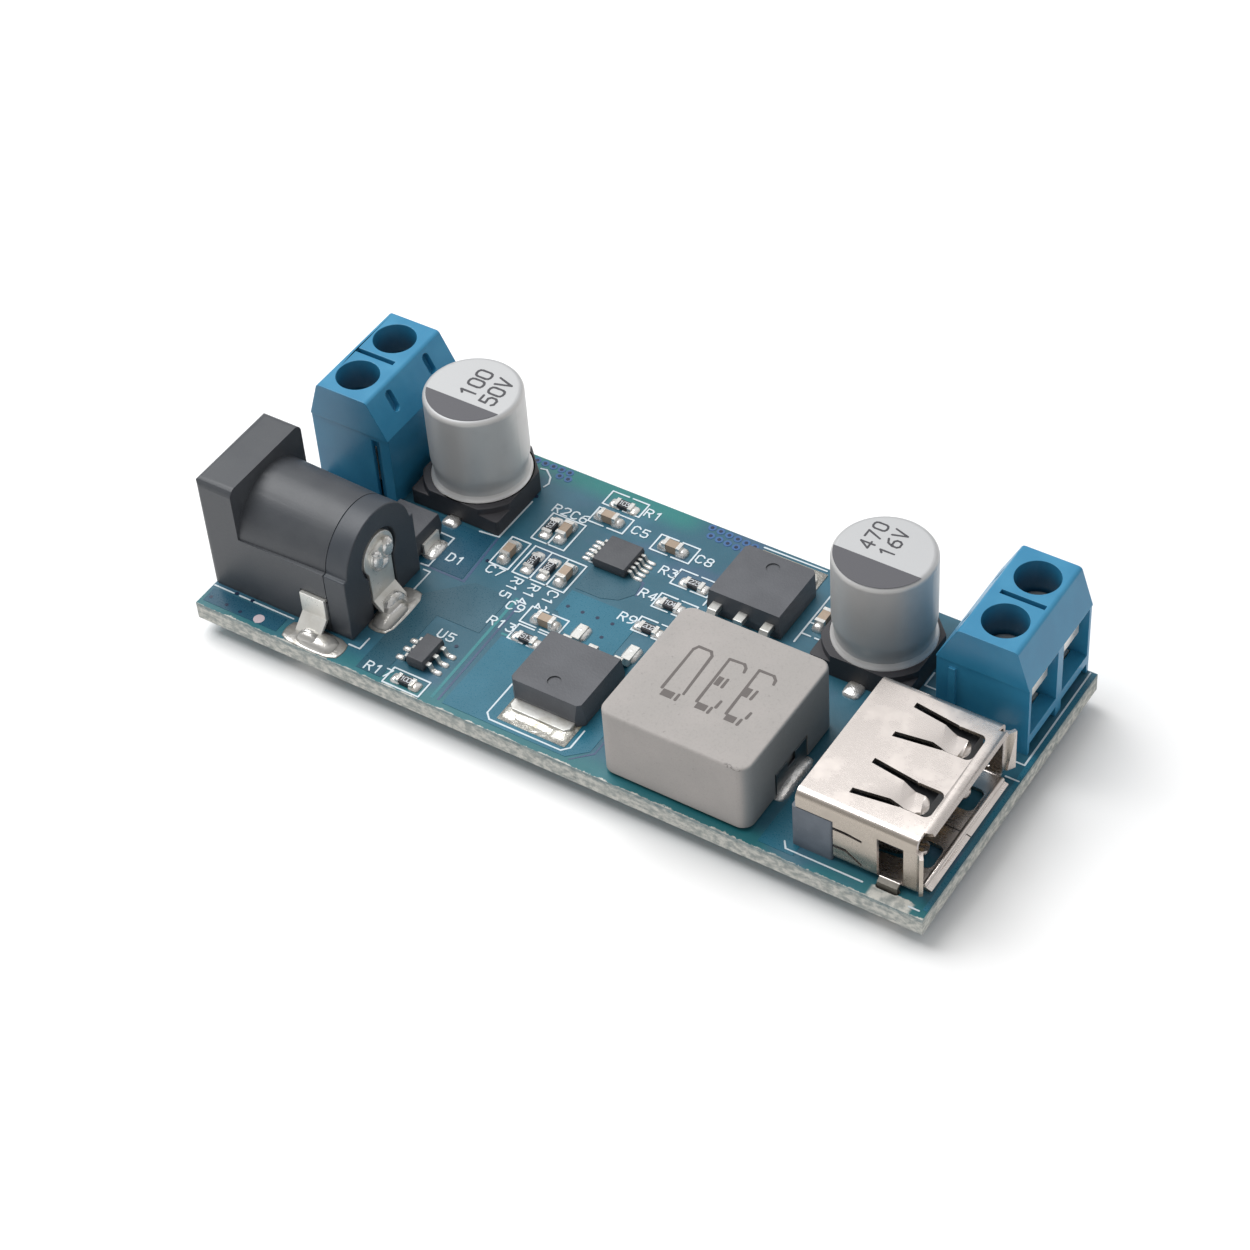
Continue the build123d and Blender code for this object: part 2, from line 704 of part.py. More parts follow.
def capacitor_can():
    """Drawn aluminium can with a rolled neck above its foot."""
    with BuildPart() as can:
        with BuildSketch(Plane.XZ):
            with BuildLine():
                Line((0, can_foot_height), (can_radius - 0.15, can_foot_height))
                RadiusArc((can_radius - 0.15, can_foot_height), (can_radius, can_foot_height + 0.35), -0.35)
                Spline(
                    (can_radius, can_foot_height + 0.35),
                    (can_neck_radius, can_neck_height),
                    (can_radius, can_neck_height + 1.5),
                    tangents=((0, 1), (0, 1)),
                )
                Line((can_radius, can_neck_height + 1.5), (can_radius, can_height - can_top_round))
                RadiusArc(
                    (can_radius, can_height - can_top_round),
                    (can_radius - can_top_round, can_height),
                    -can_top_round,
                )
                Line((can_radius - can_top_round, can_height), (0, can_height))
                Line((0, can_height), (0, can_foot_height))
            make_face()
        revolve(axis=Axis.Z)
    return can.part


def capacitor_base():
    """Moulded seat: square foot, two cut corners on the positive side and a post outside the can at each corner."""
    half = base_size / 2
    with BuildPart() as seat:
        prism((-half, half), (-half, half), (0, base_post_height))
        chamfer(seat.edges().filter_by(Axis.Z).group_by(Axis.Y)[-1], base_corner_cut)
        fillet(seat.edges().filter_by(Axis.Z).group_by(Axis.Y)[0], 0.25)
        with BuildSketch(Plane.XY.offset(base_post_height)):
            Circle(can_radius + base_seat_gap)
        extrude(amount=can_foot_height - base_post_height, mode=Mode.SUBTRACT)
        # The posts slope down to the outer edges
        with BuildSketch(Plane.XY.offset(base_post_height)):
            Rectangle(base_size + 1, base_size + 1)
            Circle(can_radius + 0.75, mode=Mode.SUBTRACT)
        extrude(amount=base_height - base_post_height, taper=0, mode=Mode.SUBTRACT)
        for turn in (0, 180):
            lead = Plane(origin=(0, 0, 0), x_dir=(cos(radians(turn)), sin(radians(turn)), 0), z_dir=(0, 0, 1))
            with BuildSketch(lead):
                with Locations((0, half)):
                    Rectangle(cap_lead_width + 0.2, 2 * half - 1.6)
            extrude(amount=cap_lead_thickness + 0.05, mode=Mode.SUBTRACT)
    return seat.part


def capacitor_leads():
    """Two flat leads folded outwards under the seat."""
    half = base_size / 2
    with BuildPart() as leads:
        with BuildSketch():
            for side in (-1, 1):
                with Locations((0, side * (0.9 + (half + cap_lead_reach - 0.9) / 2))):
                    Rectangle(cap_lead_width, half + cap_lead_reach - 0.9)
        extrude(amount=cap_lead_thickness)
    return leads.part


for side_name, centre in {"input": input_cap_centre, "output": output_cap_centre}.items():
    seat_frame = Plane(origin=(*centre, top), x_dir=(1, 0, 0), z_dir=(0, 0, 1))
    save(placed(capacitor_can(), seat_frame), f"{side_name}_capacitor_can")
    save(placed(capacitor_base(), seat_frame), f"{side_name}_capacitor_base")
    save(placed(capacitor_leads(), seat_frame), f"{side_name}_capacitor_leads")

# Inductor: pressed block with a pocket at each end for its folded terminals
inductor_floor = top + inductor_sheet + 0.05
pocket_top = top + inductor_terminal_rise + 0.15
with BuildPart() as inductor_body:
    prism(
        (inductor_x, inductor_x + inductor_length),
        (inductor_y, inductor_y + inductor_width),
        (inductor_floor, top + inductor_height),
    )
    fillet(inductor_body.edges().filter_by(Axis.Z), inductor_corner)
    fillet(inductor_body.faces().sort_by(Axis.Z)[-1].edges(), inductor_edge)
    half_pocket = inductor_terminal_width / 2 + 0.15
    for end_x in (inductor_x, inductor_x + inductor_length):
        prism(
            (end_x - inductor_sheet - 0.05, end_x + inductor_sheet + 0.05),
            (inductor_middle_y - half_pocket, inductor_middle_y + half_pocket),
            (inductor_floor, pocket_top),
            Mode.SUBTRACT,
        )
save(inductor_body.part, "inductor_body")

with BuildPart() as inductor_terminals:
    half_strip = inductor_terminal_width / 2
    for end_x, inward in ((inductor_x, 1), (inductor_x + inductor_length, -1)):
        outer = end_x
        inner = end_x + inward * inductor_sheet
        toe = end_x + inward * inductor_foot
        outline = [
            (outer, top),
            (toe, top),
            (toe, top + inductor_sheet),
            (inner, top + inductor_sheet),
            (inner, top + inductor_terminal_rise),
            (outer, top + inductor_terminal_rise),
        ]
        side_profile(outline, (inductor_middle_y - half_strip, inductor_middle_y + half_strip))
        prism(
            (min(outer, inner), max(outer, inner)),
            (inductor_middle_y - inductor_slit / 2, inductor_middle_y + inductor_slit / 2),
            (top + inductor_terminal_rise - inductor_slit_depth, top + inductor_terminal_rise),
            Mode.SUBTRACT,
        )
save(inductor_terminals.part, "inductor_terminals")


def spring_outline(side, tongue_only):
    """Plan of one spring of the USB shell: the cut-out, or the tapered tongue left inside it."""
    middle = usb_middle_y + side * spring_centre_offset
    root_x = usb_front_x - spring_root_back
    window_x = usb_front_x - spring_window_back
    window_end = window_x + spring_window_length
    inset = spring_slot if tongue_only else 0
    root_half = spring_root_width / 2 - inset
    neck_half = spring_end_width / 2 + (0 if tongue_only else spring_slot)
    if tongue_only:
        tip_x = window_end - 0.75
        with BuildLine() as edge:
            Line((root_x - 0.2, middle - root_half), (window_x, middle - neck_half))
            Line((window_x, middle - neck_half), (tip_x - neck_half, middle - neck_half))
            RadiusArc((tip_x - neck_half, middle - neck_half), (tip_x - neck_half, middle + neck_half), -neck_half)
            Line((tip_x - neck_half, middle + neck_half), (window_x, middle + neck_half))
            Line((window_x, middle + neck_half), (root_x - 0.2, middle + root_half))
            Line((root_x - 0.2, middle + root_half), (root_x - 0.2, middle - root_half))
        make_face(edge.edges())
    else:
        with BuildLine() as edge:
            Polyline(
                (root_x, middle - root_half),
                (window_x + 0.3, middle - neck_half),
                (window_x + 0.3, middle + neck_half),
                (root_x, middle + root_half),
                close=True,
            )
        make_face(edge.edges())
        with Locations(((window_x + window_end) / 2, middle)):
            RectangleRounded(spring_window_length, spring_window_width, 0.5)


def spring_section(up):
    """Side view of the bent tongue: level at the root, dipping inwards, level again at the tip."""
    skin = usb_height if up > 0 else usb_floor_height
    root_x = usb_front_x - spring_root_back
    bend_x = usb_front_x - spring_window_back - 0.6
    low_x = bend_x + 1.0
    tip_x = usb_front_x
    inner = skin - up * usb_sheet
    return [
        (root_x - 0.2, top + skin),
        (bend_x, top + skin),
        (low_x, top + skin - up * spring_dip),
        (tip_x, top + skin - up * spring_dip),
        (tip_x, top + inner - up * spring_dip),
        (low_x - 0.1, top + inner - up * spring_dip),
        (bend_x - 0.1, top + inner),
        (root_x - 0.2, top + inner),
    ]


# USB shell: one folded sheet with flared lips, four springs, side windows, a back flap and two solder legs
usb_tube_height = usb_height - usb_floor_height
usb_tube_plane = Plane(
    origin=(usb_rear_x, usb_middle_y, top + usb_floor_height + usb_tube_height / 2), x_dir=(0, 1, 0), z_dir=(1, 0, 0)
)
with BuildPart() as usb_shell:
    with BuildSketch(usb_tube_plane):
        RectangleRounded(usb_width, usb_tube_height, usb_bend)
        RectangleRounded(
            usb_width - 2 * usb_sheet, usb_tube_height - 2 * usb_sheet, usb_bend - usb_sheet, mode=Mode.SUBTRACT
        )
    extrude(amount=usb_shell_length)
    # Back flap folded down from the top
    prism(
        (usb_rear_x, usb_rear_x + usb_sheet),
        (usb_y + usb_bend, usb_y + usb_width - usb_bend),
        (top + usb_cheek_height + 0.15, top + usb_height - usb_sheet / 2),
    )
    # Cheeks of the insulator show through the sides and floor behind
    prism(
        (usb_rear_x - 1, usb_rear_x + usb_cheek_length),
        (usb_y - 1, usb_y + usb_width + 1),
        (top - 1, top + usb_cheek_height + 0.1),
        Mode.SUBTRACT,
    )
    # Windows near the mouth on both sides
    window_x = (usb_front_x - usb_window_back, usb_front_x - usb_window_back + usb_window_length)
    prism(
        window_x,
        (usb_y - 1, usb_y + usb_width + 1),
        (top + usb_window_bottom, top + usb_window_bottom + usb_window_height),
        Mode.SUBTRACT,
    )
    # Side leaves, free towards the back
    for slot_z, fall in ((3.55, -0.2), (1.75, -0.9)):
        slot_start = usb_rear_x + usb_cheek_length
        side_profile(
            [
                (slot_start - 0.1, top + slot_z + 0.12),
                (slot_start + 1.0, top + slot_z + 0.12),
                (slot_start + 2.3, top + slot_z + fall + 0.12),
                (slot_start + 2.3, top + slot_z + fall - 0.12),
                (slot_start + 1.0, top + slot_z - 0.18),
                (slot_start - 0.1, top + slot_z - 0.18),
            ],
            (usb_y - 1, usb_y + usb_width + 1),
            Mode.SUBTRACT,
        )
    # Seam where the folded sheet meets, along the middle of the floor
    prism(
        (usb_rear_x, usb_front_x),
        (usb_middle_y - 0.05, usb_middle_y + 0.05),
        (top, top + usb_floor_height + usb_sheet + 0.1),
        Mode.SUBTRACT,
    )
    for side in (-1, 1):
        for up, skin_z in ((1, usb_height - usb_sheet), (-1, usb_floor_height)):
            with BuildSketch(Plane.XY.offset(top + skin_z - 0.05)):
                spring_outline(side, tongue_only=False)
            extrude(amount=usb_sheet + 0.1, mode=Mode.SUBTRACT)
    # Flared lips round the mouth
    lip_outer = usb_lip_reach
    lip_spans = {
        "above": (usb_middle_y - usb_width / 2 + 1.1, usb_middle_y + usb_width / 2 - 1.1),
        "below_near": (usb_middle_y - usb_width / 2 + 0.8, usb_middle_y - 0.05),
        "below_far": (usb_middle_y + 0.05, usb_middle_y + usb_width / 2 - 0.8),
    }
    for place, span in lip_spans.items():
        up = 1 if place == "above" else -1
        skin = top + (usb_height if up > 0 else usb_floor_height)
        inner = skin - up * usb_sheet
        rise = usb_lip_rise if up > 0 else -usb_lip_drop
        side_profile(
            [
                (usb_front_x - 0.02, skin),
                (usb_front_x + lip_outer * 0.55, skin + rise * 0.35),
                (usb_front_x + lip_outer, skin + rise),
                (usb_front_x + lip_outer + usb_sheet * 0.6, skin + rise - up * usb_sheet * 0.8),
                (usb_front_x + lip_outer * 0.55, inner + rise * 0.2),
                (usb_front_x - 0.02, inner),
            ],
            span,
        )
    for side in (-1, 1):
        skin_y = usb_middle_y + side * usb_width / 2
        inner_y = skin_y - side * usb_sheet
        with BuildSketch(Plane.XY.offset(top + 0.9)):
            with BuildLine():
                Polyline(
                    (usb_front_x - 0.02, skin_y),
                    (usb_front_x + lip_outer * 0.5, skin_y + side * lip_outer * 0.3),
                    (usb_front_x + lip_outer * 0.8, skin_y + side * lip_outer * 0.8),
                    (usb_front_x + lip_outer * 0.8 + usb_sheet * 0.8, skin_y + side * lip_outer * 0.55),
                    (usb_front_x + lip_outer * 0.6, inner_y + side * lip_outer * 0.1),
                    (usb_front_x - 0.02, inner_y),
                    close=True,
                )
            make_face()
        extrude(amount=usb_height - 1.9)
    # Solder legs, joggled outwards below the windows
    for side, (leg_x, leg_y) in zip((-1, 1), usb_legs):
        wall_y = usb_middle_y + side * (usb_width / 2 - usb_sheet / 2)
        half_leg = (usb_window_length - 0.5) / 2
        with BuildSketch(Plane(origin=(leg_x - half_leg, 0, 0), x_dir=(0, 1, 0), z_dir=(1, 0, 0))):
            with BuildLine() as leg_path:
                Polyline(
                    (wall_y, top + usb_window_bottom + 0.1),
                    (wall_y, top + usb_window_bottom),
                    (leg_y, top + 0.4),
                    (leg_y, pin_end),
                )
            trace(leg_path.line, usb_sheet)
        extrude(amount=2 * half_leg)
usb_springs = []
for side in (-1, 1):
    for up in (1, -1):
        with BuildPart() as spring:
            with BuildSketch(Plane.XY.offset(top - 1)):
                spring_outline(side, tongue_only=True)
            extrude(amount=usb_height + 2)
            side_profile(spring_section(up), (usb_y, usb_y + usb_width), Mode.INTERSECT)
        usb_springs.append(spring.part)
save(usb_shell.part.fuse(*usb_springs), "usb_shell")

# USB insulator: block at the back with a tongue reaching forward under the roof
tongue_top = top + usb_height - usb_sheet - usb_tongue_drop
tongue_low = tongue_top - usb_tongue_thickness
usb_block_front = usb_rear_x + usb_cheek_length - 0.1
contact_slot = usb_contact_width / 2 + 0.05
with BuildPart() as usb_insulator:
    prism((usb_rear_x - usb_tail, usb_block_front), (usb_y, usb_y + usb_width), (top, top + usb_cheek_height))
    fillet(usb_insulator.edges().filter_by(Axis.Z), 0.2)
    prism(
        (usb_block_front - 0.5, usb_front_x - usb_tongue_setback),
        (usb_middle_y - usb_tongue_width / 2, usb_middle_y + usb_tongue_width / 2),
        (tongue_low, min(tongue_top, top + usb_height - usb_sheet - 0.4)),
    )
    for offset in usb_contact_places:
        slot_y = (usb_middle_y + offset - contact_slot, usb_middle_y + offset + contact_slot)
        low = tongue_low - usb_contact_thickness - 0.05
        prism((usb_pin_x - usb_pin_size / 2 - 0.05, usb_front_x), slot_y, (low, tongue_low + 0.02), Mode.SUBTRACT)
        prism(
            (usb_pin_x - usb_pin_size / 2 - 0.05, usb_pin_x + usb_pin_size / 2 + 0.05),
            slot_y,
            (top, tongue_low + 0.02),
            Mode.SUBTRACT,
        )
save(usb_insulator.part, "usb_insulator")

with BuildPart() as usb_contacts:
    for offset in usb_contact_places:
        middle = usb_middle_y + offset
        back = usb_pin_x - usb_pin_size / 2
        tip = usb_front_x - usb_tongue_setback - 0.3
        under = tongue_low - usb_contact_thickness
        side_profile(
            [
                (back, top + 0.6),
                (back, tongue_low),
                (tip, tongue_low),
                (tip, under),
                (tip - 0.9, under - 0.35),
                (tip - 2.0, under),
                (back + usb_pin_size, under),
                (back + usb_pin_size, top + 0.6),
            ],
            (middle - usb_contact_width / 2, middle + usb_contact_width / 2),
        )
        half_pin = usb_pin_size / 2
        prism((usb_pin_x - half_pin, usb_pin_x + half_pin), (middle - half_pin, middle + half_pin), (pin_end, top + 0.6))
save(usb_contacts.part, "usb_contacts")


def fet_body():
    """Moulded body, drafted both ways from its parting line, with the tab side towards +Y."""
    parting = 0.75
    with BuildPart() as body:
        for height, way in ((fet_height - parting, 1), (parting - 0.05, -1)):
            with BuildSketch(Plane.XY.offset(parting)):
                Rectangle(fet_width, fet_length)
            extrude(amount=way * height, taper=fet_draft if way > 0 else 4)
        # Ejector dimple near the tab
        with BuildSketch(Plane.XY.offset(fet_height)):
            with Locations((0, fet_length / 2 - 1.5)):
                Circle(0.55)
        extrude(amount=-0.12, mode=Mode.SUBTRACT)
        # Both corners beside the tab are cut off
        with BuildSketch():
            for side in (-1, 1):
                corner_x, corner_y = side * fet_width / 2, fet_length / 2
                with BuildLine():
                    Polyline(
                        (corner_x + side, corner_y + 1),
                        (corner_x + side, corner_y - fet_corner - 1),
                        (corner_x - side * (fet_corner + 1), corner_y + 1),
                        close=True,
                    )
                make_face()
        extrude(amount=fet_height, mode=Mode.SUBTRACT)
        # Room for the tab and the leads' roots
        prism(
            (-fet_tab_width / 2 - 0.02, fet_tab_width / 2 + 0.02),
            (-0.6, fet_length),
            (0, fet_sheet + 0.02),
            Mode.SUBTRACT,
        )
        for column in (-1, 0, 1):
            lead_x = column * fet_lead_pitch
            prism(
                (lead_x - fet_lead_width / 2 - 0.02, lead_x + fet_lead_width / 2 + 0.02),
                (-fet_length, -fet_length / 2 + 0.8),
                (fet_lead_height - 0.02, fet_lead_height + fet_sheet + 0.02),
                Mode.SUBTRACT,
            )
    return body.part


def fet_leads():
    """Heat tab, two formed leads and the cropped middle stub."""
    edge = fet_length / 2
    with BuildPart() as leads:
        with BuildSketch():
            with Locations((0, (edge + fet_tab_reach - 0.5) / 2)):
                Rectangle(fet_tab_width, edge + fet_tab_reach + 0.5)
        extrude(amount=fet_sheet)
        chamfer(leads.edges().filter_by(Axis.Z).group_by(Axis.Y)[-1], 0.35)
        lead_plane = Plane(origin=(0, 0, 0), x_dir=(0, 1, 0), z_dir=(1, 0, 0))
        middle_z = fet_lead_height + fet_sheet / 2
        for column in (-1, 0, 1):
            points = [(-edge + 0.75, middle_z), (-edge - fet_stub_reach, middle_z)]
            if column:
                points += [(-edge - 1.3, fet_sheet / 2), (-edge - fet_lead_reach, fet_sheet / 2)]
                points[1] = (-edge - 0.65, middle_z)
            with BuildSketch(lead_plane.offset(column * fet_lead_pitch - fet_lead_width / 2)):
                with BuildLine() as run:
                    Polyline(*points)
                trace(run.line, fet_sheet)
            extrude(amount=fet_lead_width)
    return leads.part


high_fet_frame = Plane(origin=(*high_fet_centre, top), x_dir=(1, 0, 0), z_dir=(0, 0, 1))
low_fet_frame = Plane(origin=(*low_fet_centre, top), x_dir=(-1, 0, 0), z_dir=(0, 0, 1))
for fet_name, fet_frame in {"high_side_transistor": high_fet_frame, "low_side_transistor": low_fet_frame}.items():
    save(placed(fet_body(), fet_frame), f"{fet_name}_body")
    save(placed(fet_leads(), fet_frame), f"{fet_name}_leads")


def chip_body(size):
    """Small moulded chip, drafted both ways from the middle of its height."""
    length, width, height = size
    with BuildPart() as body:
        middle = (chip_standoff + height) / 2
        for way in (-1, 1):
            with BuildSketch(Plane.XY.offset(middle)):
                Rectangle(length, width)
            extrude(amount=way * (height - middle if way > 0 else middle - chip_standoff), taper=8)
    return body.part


def gull_leads(size, span, rows, pitch, lead_width):
    """Formed leads in equal rows along two sides, each from the body's middle height down to the board."""
    length, width, height = size
    middle = (chip_standoff + height) / 2
    half_sheet = chip_lead_thickness / 2
    reach = (span - length) / 2
    with BuildPart() as leads:
        for side in (-1, 1):
            start = side * length / 2
            points = [
                (start, middle),
                (start + side * reach * 0.3, middle),
                (start + side * reach * 0.5, half_sheet),
                (start + side * reach, half_sheet),
            ]
            for row in range(rows):
                lead_y = (row - (rows - 1) / 2) * pitch
                bent_sheet(points, chip_lead_thickness, (lead_y - lead_width / 2, lead_y + lead_width / 2))
    return leads.part


controller_frame = Plane(origin=(*controller_centre, top), x_dir=(1, 0, 0), z_dir=(0, 0, 1))
save(placed(chip_body(controller_size), controller_frame), "controller_body")
controller_leads = gull_leads(
    controller_size, controller_span, controller_rows, controller_pitch, controller_lead_width
)
save(placed(controller_leads, controller_frame), "controller_leads")
port_chip_frame = Plane(origin=(*port_chip_centre, top), x_dir=(1, 0, 0), z_dir=(0, 0, 1))
save(placed(chip_body(port_chip_size), port_chip_frame), "port_chip_body")
port_chip_leads = gull_leads(port_chip_size, port_chip_span, port_chip_rows, port_chip_pitch, port_chip_lead_width)
save(placed(port_chip_leads, port_chip_frame), "port_chip_leads")

# Input diode: moulded body with its terminals folded under each end
diode_x, diode_y = diode_centre
diode_middle_z = top + diode_height / 2
with BuildPart() as diode_body:
    for way in (-1, 1):
        with BuildSketch(Plane.XY.offset(diode_middle_z)):
            with Locations(diode_centre):
                Rectangle(diode_length - 2 * diode_sheet - 0.04, diode_width)
        extrude(amount=way * (diode_height / 2 - (diode_sheet if way < 0 else 0)), taper=7)
save(diode_body.part, "diode_body")

with BuildPart() as diode_terminals:
    for end in (-1, 1):
        outer = diode_x + end * diode_length / 2
        inner = outer - end * diode_sheet
        toe = outer - end * diode_foot
        side_profile(
            [
                (outer, top),
                (toe, top),
                (toe, top + diode_sheet),
                (inner, top + diode_sheet),
                (inner, diode_middle_z + diode_sheet / 2),
                (outer, diode_middle_z + diode_sheet / 2),
            ],
            (diode_y - diode_terminal_width / 2, diode_y + diode_terminal_width / 2),
        )
save(diode_terminals.part, "diode_terminals")


def chip_spans(place, height, inset):
    """Spans of a chip's ceramic on each axis, turned as the chip lies on the board."""
    x, y, turned = place
    half_x, half_y = chip_length / 2 - inset, chip_width / 2 - inset
    if turned:
        half_x, half_y = half_y, half_x
    return (x - half_x, x + half_x), (y - half_y, y + half_y), (top + inset, top + height - inset)


def chip_ceramics(places, height):
    """Ceramic bodies of all chips of one kind."""
    with BuildPart() as bodies:
        for place in places.values():
            prism(*chip_spans(place, height, chip_plating))
    return bodies.part


def chip_terminations(places, height):
    """Tinned ends that wrap five sides of each chip."""
    with BuildPart() as ends:
        for place in places.values():
            x, y, turned = place
            prism(*chip_spans(place, height, 0))
            gap_x, gap_y = chip_length / 2 - chip_end, chip_width
            if turned:
                gap_x, gap_y = gap_y, gap_x
            prism((x - gap_x, x + gap_x), (y - gap_y, y + gap_y), (top, top + height), Mode.SUBTRACT)
            prism(*chip_spans(place, height, chip_plating), Mode.SUBTRACT)
    return ends.part


save(chip_ceramics(resistor_places, resistor_height), "resistor_ceramics")
save(chip_terminations(resistor_places, resistor_height), "resistor_ends")
save(chip_ceramics(capacitor_places, capacitor_height), "capacitor_ceramics")
save(chip_terminations(capacitor_places, capacitor_height), "capacitor_ends")
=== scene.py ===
import logging
from collections.abc import Callable, Iterable, Sequence
from dataclasses import dataclass
from enum import Enum
from math import atan2, cos, pi, radians, sin
from random import Random

import bmesh
import bpy
from mathutils import Matrix, Vector


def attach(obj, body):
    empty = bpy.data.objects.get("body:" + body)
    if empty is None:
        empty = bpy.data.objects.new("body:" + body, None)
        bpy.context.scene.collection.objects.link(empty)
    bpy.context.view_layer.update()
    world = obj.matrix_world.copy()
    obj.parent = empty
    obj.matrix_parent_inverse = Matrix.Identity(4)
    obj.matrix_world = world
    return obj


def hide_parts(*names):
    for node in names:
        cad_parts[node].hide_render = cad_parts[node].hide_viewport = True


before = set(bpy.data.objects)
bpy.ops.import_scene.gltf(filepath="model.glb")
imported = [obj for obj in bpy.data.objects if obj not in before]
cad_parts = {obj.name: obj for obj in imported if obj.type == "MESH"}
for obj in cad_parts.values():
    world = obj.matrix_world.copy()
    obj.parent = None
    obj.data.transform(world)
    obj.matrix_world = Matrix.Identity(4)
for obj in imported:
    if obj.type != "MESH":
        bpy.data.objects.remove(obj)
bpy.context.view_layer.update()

MM = 0.001
BOARD_TOP = 1.6
LAYER = 0.002
INPUT_CAN, OUTPUT_CAN = (12.38, 21.75), (49.03, 21.38)
Work, Material, Thing = bmesh.types.BMesh, bpy.types.Material, bpy.types.Object
Point, Colour = tuple[float, float], tuple[float, float, float]
log = logging.getLogger("buck_converter")


def linear(red: float, green: float, blue: float) -> tuple[float, float, float, float]:
    """A colour given as 0-255 display values, as the renderer's linear values."""
    parts = []
    for value in (red, green, blue):
        level = value / 255
        parts.append(level / 12.92 if level <= 0.04045 else ((level + 0.055) / 1.055) ** 2.4)
    return (*parts, 1.0)


def math_node(operation: str, turned: bool = False) -> Callable[..., "Val"]:
    """A method of Val that adds one Math node.

    Args:
        operation: Blender's name of the operation.
        turned: whether the second value comes first.

    Returns:
        The method, which gives the node's result.
    """
    def method(self: "Val", other: "Val | float" = 0.0) -> "Val":
        """Result of the operation on this value and the other."""
        pair = (other, self) if turned else (self, other)
        return self.shades.node("ShaderNodeMath", {"operation": operation}, dict(enumerate(pair)))

    return method


class Val:
    """One socket of a material, on which plain arithmetic adds Math nodes."""

    def __init__(self, shades: "Shades", socket: bpy.types.NodeSocket) -> None:
        """Keeps the socket and the material it belongs to."""
        self.shades = shades
        self.socket = socket

    __add__ = __radd__ = math_node("ADD")
    __sub__, __rsub__ = math_node("SUBTRACT"), math_node("SUBTRACT", True)
    __mul__ = __rmul__ = math_node("MULTIPLY")
    __pow__ = math_node("POWER")
    least = math_node("MINIMUM")
    size = math_node("ABSOLUTE")

    def ramp(self, low: float, high: float) -> "Val":
        """Rises smoothly from 0 at low to 1 at high, and works with the two the other way round."""
        limits = {"Value": self, "From Min": low, "From Max": high}
        return self.shades.node("ShaderNodeMapRange", {"interpolation_type": "SMOOTHSTEP"}, limits)


class Shades:
    """A material while its nodes are being laid."""

    def __init__(self, name: str) -> None:
        """Starts an empty node material of this name."""
        self.material = bpy.data.materials.new(name)
        self.material.use_nodes = True
        self.tree = self.material.node_tree
        self.tree.nodes.clear()
        self.place = self.node("ShaderNodeTexCoord", output="Object")

    def node(
        self, kind: str, settings: dict | None = None, inputs: dict | None = None, output: int | str = 0
    ) -> Val:
        """Adds any node.

        Args:
            kind: Blender's type name.
            settings: the node's own settings, set first.
            inputs: its sockets, by name or number, as values or links.
            output: which of its outputs is wanted.

        Returns:
            The wanted output.
        """
        made = self.tree.nodes.new(kind)
        for key, value in (settings or {}).items():
            setattr(made, key, value)
        for key, value in (inputs or {}).items():
            socket = made.inputs[key]
            if isinstance(value, Val):
                self.tree.links.new(value.socket, socket)
            else:
                socket.default_value = value
        return Val(self, made.outputs[output])

    def axis(self, letter: str) -> Val:
        """One coordinate of the place on the object, in millimetres."""
        return self.node("ShaderNodeSeparateXYZ", {}, {0: self.place}, letter) * (1 / MM)

    def facing(self, letter: str) -> Val:
        """One coordinate of the direction that the surface faces."""
        normal = self.node("ShaderNodeNewGeometry", output="Normal")
        return self.node("ShaderNodeSeparateXYZ", {}, {0: normal}, letter)

    def noise(
        self, per_mm: float, detail: float = 2.0, stretch: tuple[float, ...] = (1, 1, 1), rough: float = 0.5,
    ) -> Val:
        """Soft random values from 0 to 1.

        Args:
            per_mm: how many blotches there are in a millimetre.
            detail: how much finer structure is added.
            stretch: how many times denser the pattern is along X, Y and Z.
            rough: how strong the finer structure is.

        Returns:
            The pattern's value.
        """
        place = self.node("ShaderNodeMapping", {}, {0: self.place, "Scale": stretch})
        inputs = {"Vector": place, "Scale": per_mm / MM, "Detail": detail, "Roughness": rough}
        return self.node("ShaderNodeTexNoise", {}, inputs)

    def mix(self, factor: Val | float, first: Val | Colour, second: Val | Colour) -> Val:
        """A colour between two colours, each a link or three display values."""
        ends = [colour if isinstance(colour, Val) else linear(*colour) for colour in (first, second)]
        return self.node("ShaderNodeMix", {"data_type": "RGBA"}, {0: factor, 6: ends[0], 7: ends[1]}, 2)

    def finish(
        self, colour: Val, roughness: Val | float, metallic: Val | float = 0.0, height: Val | None = None,
        depth: float = 0.0,
    ) -> Material:
        """Ends the material with its surface.

        Args:
            colour: base colour.
            roughness: 0 for a mirror, 1 for chalk.
            metallic: 1 for bare metal.
            height: relief from 0 to 1.
            depth: how many millimetres the relief stands for.

        Returns:
            The finished material.
        """
        inputs = {"Base Color": colour, "Roughness": roughness, "Metallic": metallic}
        if height is not None:
            relief = {"Height": height, "Distance": depth * MM, "Strength": 1.0}
            inputs["Normal"] = self.node("ShaderNodeBump", {}, relief)
        surface = self.node("ShaderNodeBsdfPrincipled", {}, inputs)
        end = self.tree.nodes.new("ShaderNodeOutputMaterial")
        self.tree.links.new(surface.socket, end.inputs["Surface"])
        return self.material


